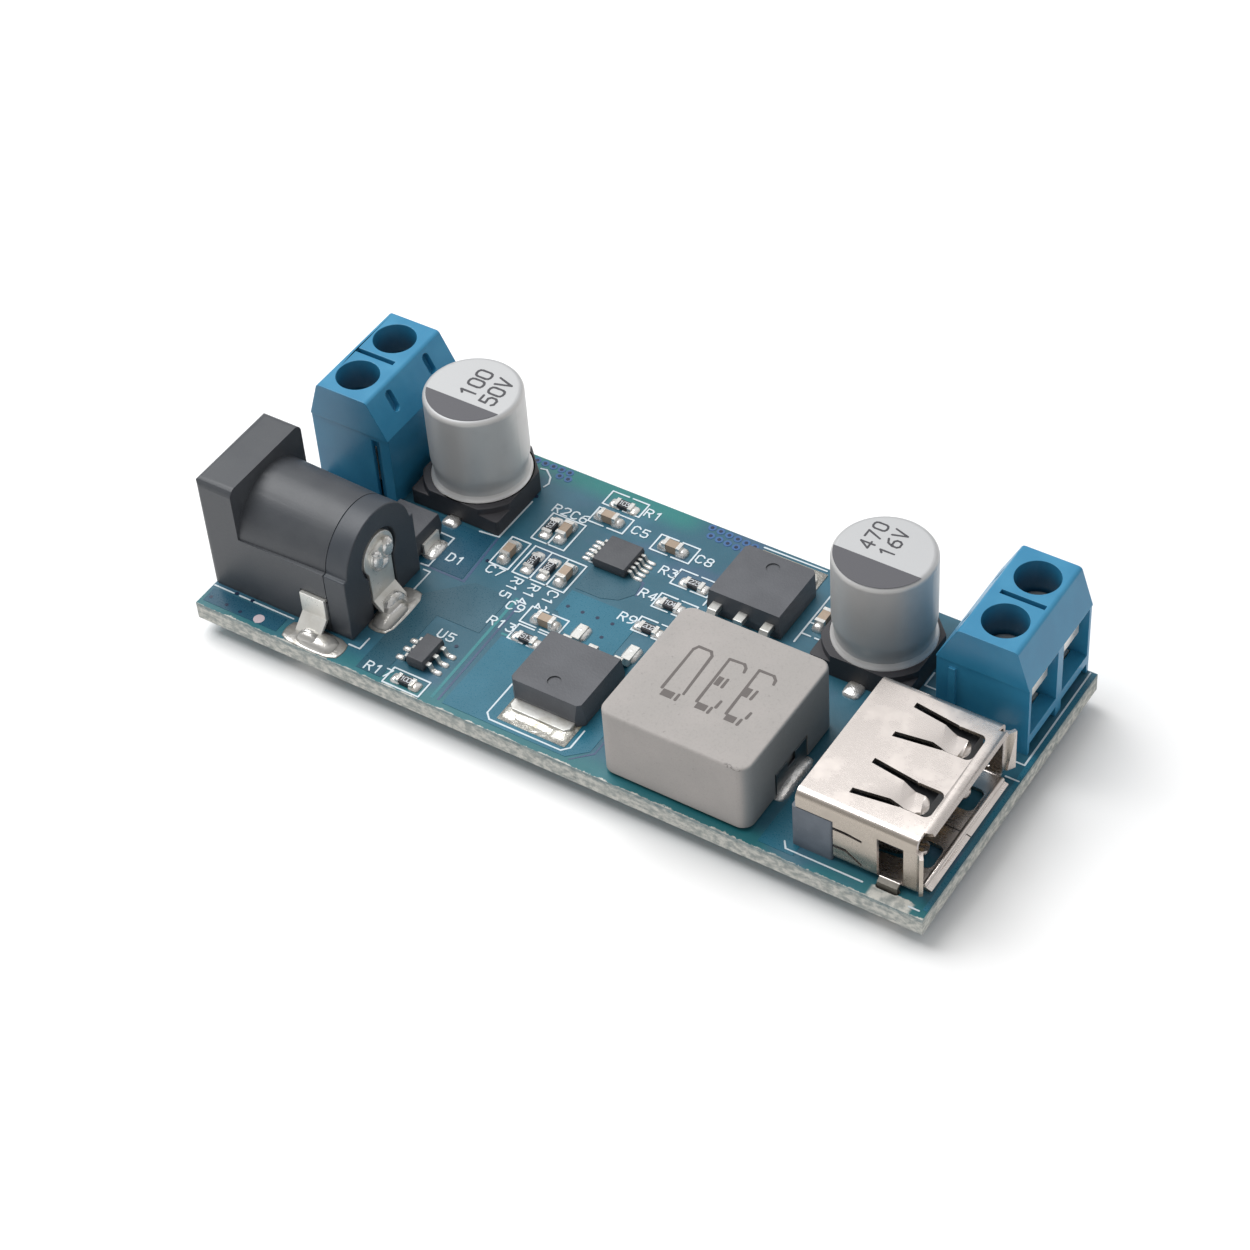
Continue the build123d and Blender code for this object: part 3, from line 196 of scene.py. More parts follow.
@dataclass(frozen=True)
class Moulding:
    """Moulded plastic: fine spark grain, faint flow clouds, a little dust, and painted shade inside each
    screw well that is listed.
    """

    name: str
    colour: Colour
    cloud: Colour
    roughness: float = 0.45
    grain: float = 9.0
    depth: float = 0.006
    dust: float = 0.08
    # centre of each screw well whose inside gets painted shade
    shaded_wells: tuple[Point, ...] = ()

    def make(self) -> Material:
        """Builds the material."""
        s = Shades(self.name)
        clouds = s.noise(0.35, 4.0).ramp(0.35, 0.7)
        specks = s.noise(self.grain, 3.0, rough=0.6)
        colour = s.mix(clouds, self.colour, self.cloud)
        # Painted shade: inside each screw well the plastic is painted dark blue, more so further down.
        for x, y in self.shaded_wells:
            side, across = s.axis("X") - x, s.axis("Y") - y
            inside = ((side * side + across * across) ** 0.5).ramp(1.86, 1.7)
            deep = s.axis("Z").ramp(11.75, 9.6)
            colour = s.mix(inside * deep * 0.75, colour, (20, 44, 64))
        dust = s.noise(3.5, 5.0, rough=0.7).ramp(0.66, 0.8) * self.dust
        colour = s.mix(dust, colour, (190, 190, 188))
        roughness = specks * 0.2 + (self.roughness - 0.1) + clouds * 0.06
        return s.finish(colour, roughness, 0.0, specks, self.depth)


@dataclass(frozen=True)
class Housed:
    """Insulator of the socket: blue-grey outside, with painted shade on the tongue inside the mouth."""

    name: str

    def make(self) -> Material:
        """Builds the material."""
        s = Shades(self.name)
        clouds = s.noise(0.7, 3.0).ramp(0.35, 0.7)
        specks = s.noise(9.0, 3.0)
        outside = s.mix(clouds, (88, 96, 106), (98, 106, 116))
        outside = s.mix(specks.ramp(0.6, 0.75) * 0.3, outside, (130, 138, 146))
        # Painted shade: past x 57.2 the insulator is painted near-black, as the mouth is in shade.
        colour = s.mix(s.axis("X").ramp(56.3, 57.2), outside, (30, 32, 36))
        return s.finish(colour, specks * 0.15 + 0.42, 0.0, specks, 0.006)


@dataclass(frozen=True)
class Plate:
    """Plated or bare sheet metal: rolled streaks, faint stains and softened shine."""

    name: str
    colour: Colour
    stain: Colour
    roughness: float = 0.28
    streaks: Colour = (6, 1, 1)
    stained: float = 0.5
    depth: float = 0.002
    metallic: float = 1.0

    def make(self) -> Material:
        """Builds the material."""
        s = Shades(self.name)
        stains = s.noise(0.5, 5.0, rough=0.6).ramp(0.42, 0.75) * self.stained
        rolled = s.noise(2.2, 3.0, stretch=self.streaks)
        specks = s.noise(14.0)
        colour = s.mix(stains, self.colour, self.stain)
        roughness = rolled * 0.16 + specks * 0.08 + stains * 0.18 + (self.roughness - 0.12)
        return s.finish(colour, roughness, self.metallic, rolled * 0.6 + specks * 0.4, self.depth)


@dataclass(frozen=True)
class Folded:
    """Nickel on the folded shell: pale on the roof, painted shade down the sides, and stained by flux at its
    feet.
    """

    name: str

    def make(self) -> Material:
        """Builds the material."""
        s = Shades(self.name)
        stains = s.noise(0.5, 5.0, rough=0.6).ramp(0.45, 0.8)
        rolled = s.noise(2.2, 3.0, stretch=(1, 7, 1))
        specks = s.noise(14.0)
        colour = s.mix(stains * 0.25, (217, 209, 204), (200, 191, 183))
        # Painted shade: faces turned towards ±Y are painted a darker brown-grey.
        sides = s.facing("Y").size().ramp(0.4, 0.8)
        colour = s.mix(sides * 0.75, colour, (160, 150, 136))
        foot = s.axis("Z").ramp(2.9, 2.7) * s.axis("Y").ramp(1.6, 1.5)
        colour = s.mix(foot * 0.9, colour, s.mix(s.noise(2.5, 4.0), (92, 90, 84), (136, 134, 126)))
        roughness = rolled * 0.1 + specks * 0.03 + stains * 0.14 + foot * 0.3 + 0.2
        return s.finish(colour, roughness, 0.92, rolled * 0.7 + specks * 0.2, 0.0008)


@dataclass(frozen=True)
class Spun:
    """Drawn aluminium can: lengthwise drawing marks on the side, a painted highlight round the flared foot
    and a satin pressed top.
    """

    name: str

    def make(self) -> Material:
        """Builds the material."""
        s = Shades(self.name)
        top = s.facing("Z").ramp(0.6, 0.9)
        drawn = s.noise(3.0, 3.0, stretch=(1, 1, 0.06), rough=0.6)
        satin = s.noise(18.0)
        stains = s.noise(0.6, 4.0).ramp(0.5, 0.8)
        side = s.mix(stains * 0.3, (197, 196, 195), (179, 178, 177))
        # Painted highlight: below z 4.1 the side is painted near-white, as if the flared foot caught the
        # light.
        side = s.mix(s.axis("Z").ramp(4.1, 3.8), side, (232, 231, 230))
        colour = s.mix(top, side, s.mix(satin * 0.5, (183, 184, 185), (166, 167, 169)))
        roughness = drawn * 0.12 + (1 - top) * 0.32 + top * 0.42 + 0.06
        height = drawn * (1 - top) * 0.6 + satin * top * 0.6
        return s.finish(colour, roughness, top * 0.12 + 0.38, height, 0.006)


@dataclass(frozen=True)
class BoardFinish:
    """Blue mask above and below, fibrous bare laminate at the sawn edges and tin in the holes."""

    name: str
    length: float = 63.9
    width: float = 27.0

    def make(self) -> Material:
        """Builds the material."""
        s = Shades(self.name)
        x, y, z = s.axis("X"), s.axis("Y"), s.axis("Z")
        inset = x.least(self.length - x).least(y.least(self.width - y))
        flat = s.facing("Z").size().ramp(0.4, 0.7)
        rim = inset.ramp(0.08, 0.02)
        weave = s.noise(2.6, stretch=(1, 1, 6))
        fray = s.noise(1.5, 4.0, stretch=(1, 1, 1.6), rough=0.6)
        bare = s.mix(fray.ramp(0.35, 0.65), (148, 153, 150), (200, 199, 192))
        bare = s.mix(s.noise(1.3, 4.0, rough=0.7).ramp(0.6, 0.7) * 0.5, bare, (104, 110, 110))
        wear = s.noise(1.0, 5.0, rough=0.75)
        smear = (z + weave * 0.9).ramp(1.55, 1.95)
        edge = s.mix(smear * 0.6, bare, (74, 108, 116))
        clouds = s.noise(0.22, 4.0).ramp(0.35, 0.7)
        mask = s.mix(clouds, (34, 86, 104), (50, 100, 120))
        green = y.ramp(24.4, 26.4) * x.ramp(31, 28) + (y.ramp(2.4, 0.6) * 0.5)
        mask = s.mix(green.least(1.0) * 0.85, mask, (26, 116, 112))
        violet = s.noise(0.16, stretch=(1, 1.6, 1)).ramp(0.55, 0.7)
        mask = s.mix(violet * 0.35, mask, (72, 84, 118))
        specks = s.noise(12.0, 3.0)
        mask = s.mix(specks.ramp(0.62, 0.8) * 0.25, mask, (120, 150, 160))
        missing = x.ramp(59.2, 59.5) * x.ramp(62.9, 62.6) * (y - wear).ramp(0.62, 0.5)
        ragged = (y - wear * 0.9).ramp(-0.34, -0.42) + missing
        mask = s.mix(ragged.least(1.0), mask, bare)
        walls = s.mix(rim, (190, 190, 186), edge)
        colour = s.mix(flat, walls, mask)
        roughness = flat * -0.54 + 0.82 + specks * 0.12
        height = flat * specks * 0.15 + (1 - flat) * fray
        return s.finish(colour, roughness, 0.0, height, 0.08)


@dataclass(frozen=True)
class MaskedCopper:
    """Mask lying over copper: the same blue, a little brighter and smoother."""

    name: str
    colour: Colour
    cloud: Colour

    def make(self) -> Material:
        """Builds the material."""
        s = Shades(self.name)
        clouds = s.noise(0.3, 4.0).ramp(0.3, 0.7)
        specks = s.noise(10.0, 3.0)
        colour = s.mix(clouds, self.colour, self.cloud)
        colour = s.mix(specks.ramp(0.62, 0.8) * 0.2, colour, (130, 160, 170))
        return s.finish(colour, specks * 0.14 + 0.22, 0.0, specks, 0.004)


@dataclass(frozen=True)
class Ink:
    """Printed ink: slightly uneven cover, so the ground shows through in places."""

    name: str
    colour: Colour
    thin: Colour
    roughness: float = 0.7

    def make(self) -> Material:
        """Builds the material."""
        s = Shades(self.name)
        cover = s.noise(4.5, 5.0, rough=0.7)
        colour = s.mix(cover.ramp(0.55, 0.75) * 0.6, self.colour, self.thin)
        return s.finish(colour, cover * 0.15 + self.roughness, 0.0, cover, 0.005)


@dataclass(frozen=True)
class Pressed:
    """Block pressed from iron powder under a pale coat, with dark specks, rubbed pits and painted shade on
    the faces towards +X.
    """

    name: str

    def make(self) -> Material:
        """Builds the material."""
        s = Shades(self.name)
        grains = s.noise(6.5, 5.0, rough=0.7)
        pits = s.noise(3.2, 5.0, rough=0.75)
        pale = s.mix(s.noise(0.3, 3.0).ramp(0.3, 0.75), (156, 152, 149), (162, 157, 154))
        colour = s.mix(grains.ramp(0.5, 0.75) * 0.4, pale, (132, 128, 126))
        colour = s.mix(pits.ramp(0.68, 0.8) * 0.8, colour, (78, 76, 78))
        height = grains * 0.5 + pits.ramp(0.72, 0.6) * 0.5
        crumbled = s.axis("X").ramp(47.5, 47.9) * s.axis("X").ramp(49.1, 48.8) * s.axis("Y").ramp(1.05, 0.9)
        crumbled = crumbled * s.axis("Z").ramp(7.84, 7.95) * s.noise(4.0, 3.0).ramp(0.46, 0.54)
        colour = s.mix(crumbled * 0.6, colour, (84, 80, 79))
        # Painted shade: faces turned towards +X, which lie in the socket's shade, are painted dark blue-grey.
        colour = s.mix(s.facing("X").ramp(0.3, 0.9) * 0.62, colour, (96, 108, 114))
        return s.finish(colour, grains * 0.2 + 0.55, 0.0, height, 0.03)


@dataclass(frozen=True)
class Tinned:
    """Solder and tinned ends: bright, slightly rippled, with patches of a film of flux."""

    name: str
    colour: Colour = (205, 205, 202)
    film: Colour = (150, 138, 112)
    filmed: float = 0.5
    roughness: float = 0.22
    depth: float = 0.1

    def make(self) -> Material:
        """Builds the material."""
        s = Shades(self.name)
        ripple = s.noise(1.8, 4.0)
        frost = s.noise(9.0, 3.0)
        film = s.noise(0.9, 4.0).ramp(0.5, 0.75) * self.filmed
        colour = s.mix(film, self.colour, self.film)
        roughness = frost * 0.2 + film * 0.25 + (self.roughness - 0.08)
        return s.finish(colour, roughness, 0.7, ripple * 0.8 + frost * 0.2, self.depth)


@dataclass(frozen=True)
class Fired:
    """Fired ceramic or glass-coated film of a chip part."""

    name: str
    colour: Colour
    speck: Colour
    roughness: float = 0.35

    def make(self) -> Material:
        """Builds the material."""
        s = Shades(self.name)
        specks = s.noise(7.0, 4.0, rough=0.7)
        shift = s.noise(0.25, 1.0).ramp(0.4, 0.6)
        colour = s.mix(specks.ramp(0.5, 0.8) * 0.5 + shift * 0.3, self.colour, self.speck)
        return s.finish(colour, specks * 0.2 + (self.roughness - 0.05), 0.0, specks, 0.012)


class Finish(Enum):
    """Every finish on the module."""

    BOARD = BoardFinish("board_mask_and_laminate")
    POUR = MaskedCopper("mask_over_copper", (26, 96, 117), (38, 104, 126))
    # Mask over copper painted darker than the other pours: the pour is real, its extra darkness is painted
    # shade from the jack and the input can.
    SHADED_POUR = MaskedCopper("mask_over_copper_painted_shade", (22, 72, 94), (28, 82, 104))
    SLATE_POUR = MaskedCopper("mask_over_thin_copper", (40, 82, 98), (52, 92, 108))
    GAP = MaskedCopper("mask_over_gap", (66, 86, 116), (60, 80, 106))
    BRIGHT_GAP = MaskedCopper("mask_over_bare_laminate", (44, 116, 124), (54, 128, 132))
    VIA = MaskedCopper("filled_via", (20, 36, 62), (26, 44, 72))
    VIA_RING = MaskedCopper("via_ring", (54, 92, 140), (60, 100, 146))
    PALE_PAD = Ink("pale_test_pad", (196, 180, 186), (170, 156, 164), 0.4)
    JACK = Moulding("jack_plastic", (60, 63, 68), (66, 69, 73), 0.42, dust=0.12)
    JACK_CAP = Moulding("jack_cap_plastic", (54, 59, 66), (60, 65, 71), 0.45, dust=0.12)
    TERMINAL = Moulding(
        "terminal_plastic", (42, 122, 160), (50, 130, 167), 0.32, 11.0, 0.004, 0.05,
        # centre of each screw well, painted dark inside as shade
        ((3.25, 19.05), (3.25, 24.05), (59.8, 19.58), (59.8, 24.58)),
    )
    CAN = Spun("can_aluminium")
    SEAT = Moulding("seat_plastic", (46, 46, 50), (54, 53, 57), 0.5)
    INSULATOR = Housed("insulator_plastic")
    EPOXY = Moulding("moulding_epoxy", (74, 76, 81), (82, 84, 89), 0.42, 6.0, 0.02, 0.1)
    CHIP_EPOXY = Moulding("chip_epoxy", (62, 64, 69), (72, 74, 78), 0.42, 6.0, 0.02, 0.1)
    CONTACT_TIN = Plate("contact_tin", (228, 227, 222), (186, 182, 172), 0.3, metallic=0.55)
    CLAMP_TIN = Plate("clamp_tin", (236, 232, 224), (190, 184, 172), 0.34, metallic=0.4)
    SCREW = Plate("screw_steel", (200, 200, 198), (150, 146, 138), 0.3, (1, 1, 1), metallic=0.8)
    SHELL = Folded("shell_nickel")
    BRASS = Plate("contact_brass", (168, 140, 88), (120, 98, 60), 0.34)
    LEAD = Plate("lead_tin", (206, 206, 203), (140, 135, 124), 0.34, stained=0.7, metallic=0.75)
    # Painted shade: the inductor's terminals, which stand in the socket's shade, get a dark grey tin.
    SHADED_TIN = Plate("inductor_tin_painted_shade", (112, 116, 119), (74, 76, 78), 0.3)
    POOL = Tinned("tail_solder", (186, 184, 180), (136, 130, 116), 0.7, 0.3, 0.05)
    SOLDER = Tinned("solder", (224, 223, 221))
    FLUXED = Tinned("fluxed_solder", (216, 214, 206), (166, 156, 116), 0.8, 0.26, 0.16)
    CHIP_TIN = Tinned("chip_end_tin", (222, 221, 218), (178, 170, 154), 0.3, 0.2, 0.04)
    INDUCTOR = Pressed("pressed_powder")
    RESISTOR = Fired("resistor_glass", (38, 38, 42), (64, 62, 66), 0.3)
    CERAMIC = Fired("capacitor_ceramic", (150, 132, 114), (182, 164, 146), 0.4)
    WHITE_INK = Ink("board_ink", (204, 214, 220), (120, 152, 166))
    DARK_INK = Ink("stamp_ink", (100, 95, 93), (122, 116, 113))
    CAN_INK = Ink("can_ink", (62, 62, 66), (70, 70, 75), 0.45)
    SEGMENT_INK = Ink("can_segment_ink", (80, 80, 85), (92, 92, 97), 0.4)
    MARK_INK = Ink("resistor_ink", (196, 200, 204), (120, 122, 126))


class Workshop:
    """Keeps the made materials and hands each piece its body, finish and place."""

    WELD = 0.002
    FLAT_TURN, SHARP_TURN, ROUNDED_TURN = radians(0.6), radians(28), radians(32)

    def __init__(self) -> None:
        """Starts with no material made."""
        self.made: dict[Finish, Material] = {}

    def material(self, finish: Finish) -> Material:
        """The finish's material, made when it is first asked for."""
        if finish not in self.made:
            self.made[finish] = finish.value.make()
        return self.made[finish]

    def dress(self, finish: Finish, *nodes: str) -> None:
        """Gives carried-over CAD pieces their finish."""
        for node in nodes:
            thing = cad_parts[node]
            if not thing.data.materials:
                thing.data.materials.append(self.material(finish))
            for slot in thing.material_slots:
                slot.material = self.material(finish)
            log.info("dressed %s", node)

    def piece(
        self, name: str, work: Work, finish: Finish, slot: str, body: str = "module", smooth: bool = True,
        turn_out: bool = True,
    ) -> Thing:
        """Turns finished mesh work into a piece of the module.

        Args:
            name: the piece's plain name.
            work: its mesh, in millimetres in the module's frame.
            finish: its finish.
            slot: the record's material slot; not used.
            body: the CAD body that it moves with.
            smooth: whether its faces are smooth-shaded.
            turn_out: whether its faces are turned outwards first.

        Returns:
            The new object.
        """
        if turn_out:
            bmesh.ops.recalc_face_normals(work, faces=work.faces)
        bmesh.ops.scale(work, vec=(MM, MM, MM), verts=work.verts)
        for face in work.faces:
            face.smooth = smooth
        mesh = bpy.data.meshes.new(name)
        work.to_mesh(mesh)
        work.free()
        mesh.materials.append(self.material(finish))
        thing = placed(name, mesh)
        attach(thing, body)
        log.info("made %s, %d faces", name, len(mesh.polygons))
        return thing

    def softened(
        self, node: str, finish: Finish, slot: str, width: float, segments: int = 2,
        reshape: Callable[[Work], None] | None = None,
    ) -> None:
        """Stands a copy with rounded edges in for a CAD piece.

        Args:
            node: the CAD piece's name.
            finish: its finish.
            slot: the record's material slot.
            width: the rounding's width in millimetres, or 0 to leave faces and edges as they are.
            segments: faces across each rounding.
            reshape: what else is done to the copy, in millimetres.
        """
        work = bmesh.new()
        work.from_mesh(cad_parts[node].data)
        bmesh.ops.remove_doubles(work, verts=work.verts, dist=self.WELD * MM)
        if width:
            bmesh.ops.dissolve_limit(work, angle_limit=self.FLAT_TURN, verts=work.verts, edges=work.edges)
        bmesh.ops.scale(work, vec=(1 / MM, 1 / MM, 1 / MM), verts=work.verts)
        if reshape:
            reshape(work)
        thing = self.piece(f"{node}_shaped", work, finish, slot, turn_out=False)
        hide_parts(node)
        thing.data.set_sharp_from_angle(angle=self.SHARP_TURN)
        if width:
            rounding = thing.modifiers.new("rounding", "BEVEL")
            rounding.width = width * MM
            rounding.segments = segments
            rounding.limit_method = "ANGLE"
            rounding.angle_limit = self.ROUNDED_TURN
            rounding.harden_normals = True
            shading = thing.modifiers.new("even_shading", "WEIGHTED_NORMAL")
            shading.keep_sharp = True
            shading.weight = 100


def placed(name: str, data: bpy.types.ID) -> Thing:
    """A new object with this data, put in the scene."""
    thing = bpy.data.objects.new(name, data)
    bpy.context.scene.collection.objects.link(thing)
    return thing


def box(left: float, low: float, right: float, high: float) -> tuple[Point, ...]:
    """The four corners of an upright rectangle."""
    return (left, low), (right, low), (right, high), (left, high)


def raise_up(work: Work, faces: list[bmesh.types.BMFace], height: float) -> None:
    """Gives flat faces a thickness, upwards."""
    grown = bmesh.ops.extrude_face_region(work, geom=faces, use_keep_orig=True)
    raised = [item for item in grown["geom"] if isinstance(item, bmesh.types.BMVert)]
    bmesh.ops.translate(work, vec=(0, 0, height), verts=raised)


def slab(work: Work, outline: Iterable[Point], low: float, high: float) -> None:
    """Adds a flat plate with the given outline, standing between two heights."""
    face = work.faces.new([work.verts.new((x, y, low)) for x, y in outline])
    if face.calc_area() and face.normal.z > 0:
        face.normal_flip()
    raise_up(work, [face], high - low)


def bar(work: Work, start: Point, end: Point, width: float, height: float, square: bool = False) -> None:
    """Adds one straight printed stroke on the XY plane with round or square ends.

    Args:
        work: mesh work to add to.
        start: one end of the stroke's middle line.
        end: its other end.
        width: the stroke's width.
        height: how far it stands up from z = 0.
        square: whether the ends are square.
    """
    run = Vector(end) - Vector(start)
    disc = bmesh.ops.create_circle(work, cap_ends=True, segments=4 if square else 10, radius=width / 2)
    verts = disc["verts"]
    if square:
        bmesh.ops.rotate(work, matrix=Matrix.Rotation(pi / 4, 3, "Z"), verts=verts)
        bmesh.ops.scale(work, vec=(2 ** 0.5, 2 ** 0.5, 1), verts=verts)
    far = [vert for vert in verts if vert.co.x > 1e-6]
    bmesh.ops.translate(work, vec=(run.length, 0, 0), verts=far)
    bmesh.ops.rotate(work, matrix=Matrix.Rotation(atan2(run.y, run.x), 3, "Z"), verts=verts)
    bmesh.ops.translate(work, vec=(*start, 0), verts=verts)
    raise_up(work, verts[0].link_faces[:], height)


def trace(work: Work, run: Sequence[Point], width: float, rise: float, layers: int = 4) -> None:
    """Adds a printed line through points, in layers so that strokes which cross don't flicker.

    Args:
        work: mesh work to add to.
        run: the points.
        width: the line's width.
        rise: thickness of the thinnest stroke.
        layers: how many strokes follow each other before a thickness comes back.
    """
    for count, (near, far) in enumerate(zip(run, run[1:])):
        bar(work, near, far, width, rise + LAYER * (count % layers))


def mounds(work: Work, rows: Iterable[tuple[float, float, float, float, float]]) -> None:
    """Adds fillets of solder, each a low mound that is wider at its foot.

    Args:
        work: mesh work to add to.
        rows: x, y, length, width and height of each.
    """
    foot, squareness = BOARD_TOP + 0.01, 0.7
    for x, y, length, width, height in rows:
        verts = bmesh.ops.create_uvsphere(work, u_segments=20, v_segments=10, radius=1.0)["verts"]
        for vert in verts:
            reach = Vector((vert.co.x, vert.co.y)).length
            corner = max(abs(vert.co.x), abs(vert.co.y)) / reach if reach > 1e-6 else 1.0
            vert.co.x /= corner ** squareness
            vert.co.y /= corner ** squareness
        bmesh.ops.scale(work, vec=(length / 2, width / 2, height), verts=verts)
        bmesh.ops.translate(work, vec=(x, y, foot), verts=verts)


@dataclass
class Lettering:
    """Round-ended strokes of plain capital letters and figures, given in hundredths of their height."""

    height: float = 0.82
    stroke: float = 0.14
    pitch: float = 0.84
    spread: float = 1.12

    STROKES = {
        "R": "0,0 0,100 40,100 58,86 58,64 40,50 0,50 | 28,50 58,0",
        "C": "58,84 42,100 16,100 0,82 0,18 16,0 42,0 58,16",
        "U": "0,100 0,18 16,0 42,0 58,18 58,100",
        "D": "0,0 0,100 36,100 58,78 58,22 36,0 0,0",
        "V": "0,100 30,0 60,100",
        "0": "20,0 6,7 0,22 0,78 6,93 20,100 38,100 52,93 58,78 58,22 52,7 38,0 20,0",
        "1": "8,80 30,100 30,0",
        "2": "0,85 14,100 44,100 58,85 58,64 0,0 58,0",
        "3": "0,100 58,100 26,60 44,60 58,45 58,15 44,0 14,0 0,14",
        "4": "44,0 44,100 0,30 60,30",
        "5": "54,100 5,100 2,56 42,60 58,45 58,15 44,0 12,0 0,12",
        "6": "50,100 16,86 0,50 0,16 14,0 44,0 58,16 58,40 44,55 12,55 0,40",
        "7": "0,100 58,100 20,0",
        "8": "14,52 0,36 0,14 14,0 44,0 58,14 58,36 44,52 14,52 2,66 2,86 16,100 42,100 56,86 56,66 44,52",
        "9": "8,0 42,14 58,50 58,84 44,100 14,100 0,84 0,60 14,45 46,45 58,60",
    }

    def paths(self, letter: str) -> list[list[Point]]:
        """A letter's strokes as runs of points, in parts of its height."""
        return [
            [tuple(int(part) / 100 for part in point.split(",")) for point in stroke.split()]
            for stroke in self.STROKES[letter].split("|")
        ]

    def write(
        self, work: Work, words: str, start: tuple[float, float, float], turn: float, rise: float,
    ) -> None:
        """Adds the words, with the first letter's lower left corner at the start.

        Args:
            work: mesh work to add to.
            words: capital letters and figures.
            start: the first letter's corner.
            turn: degrees from +X to the reading direction.
            rise: the ink's thickness.
        """
        line = bmesh.new()
        for place, letter in enumerate(words):
            left = place * self.pitch
            for path in self.paths(letter):
                points = [(x * self.height * self.spread + left, y * self.height) for x, y in path]
                trace(line, points, self.stroke, rise)
        bmesh.ops.rotate(line, matrix=Matrix.Rotation(radians(turn), 3, "Z"), verts=line.verts)
        bmesh.ops.translate(line, vec=start, verts=line.verts)
        joined = bpy.data.meshes.new("line")
        line.to_mesh(joined)
        line.free()
        work.from_mesh(joined)
        bpy.data.meshes.remove(joined)


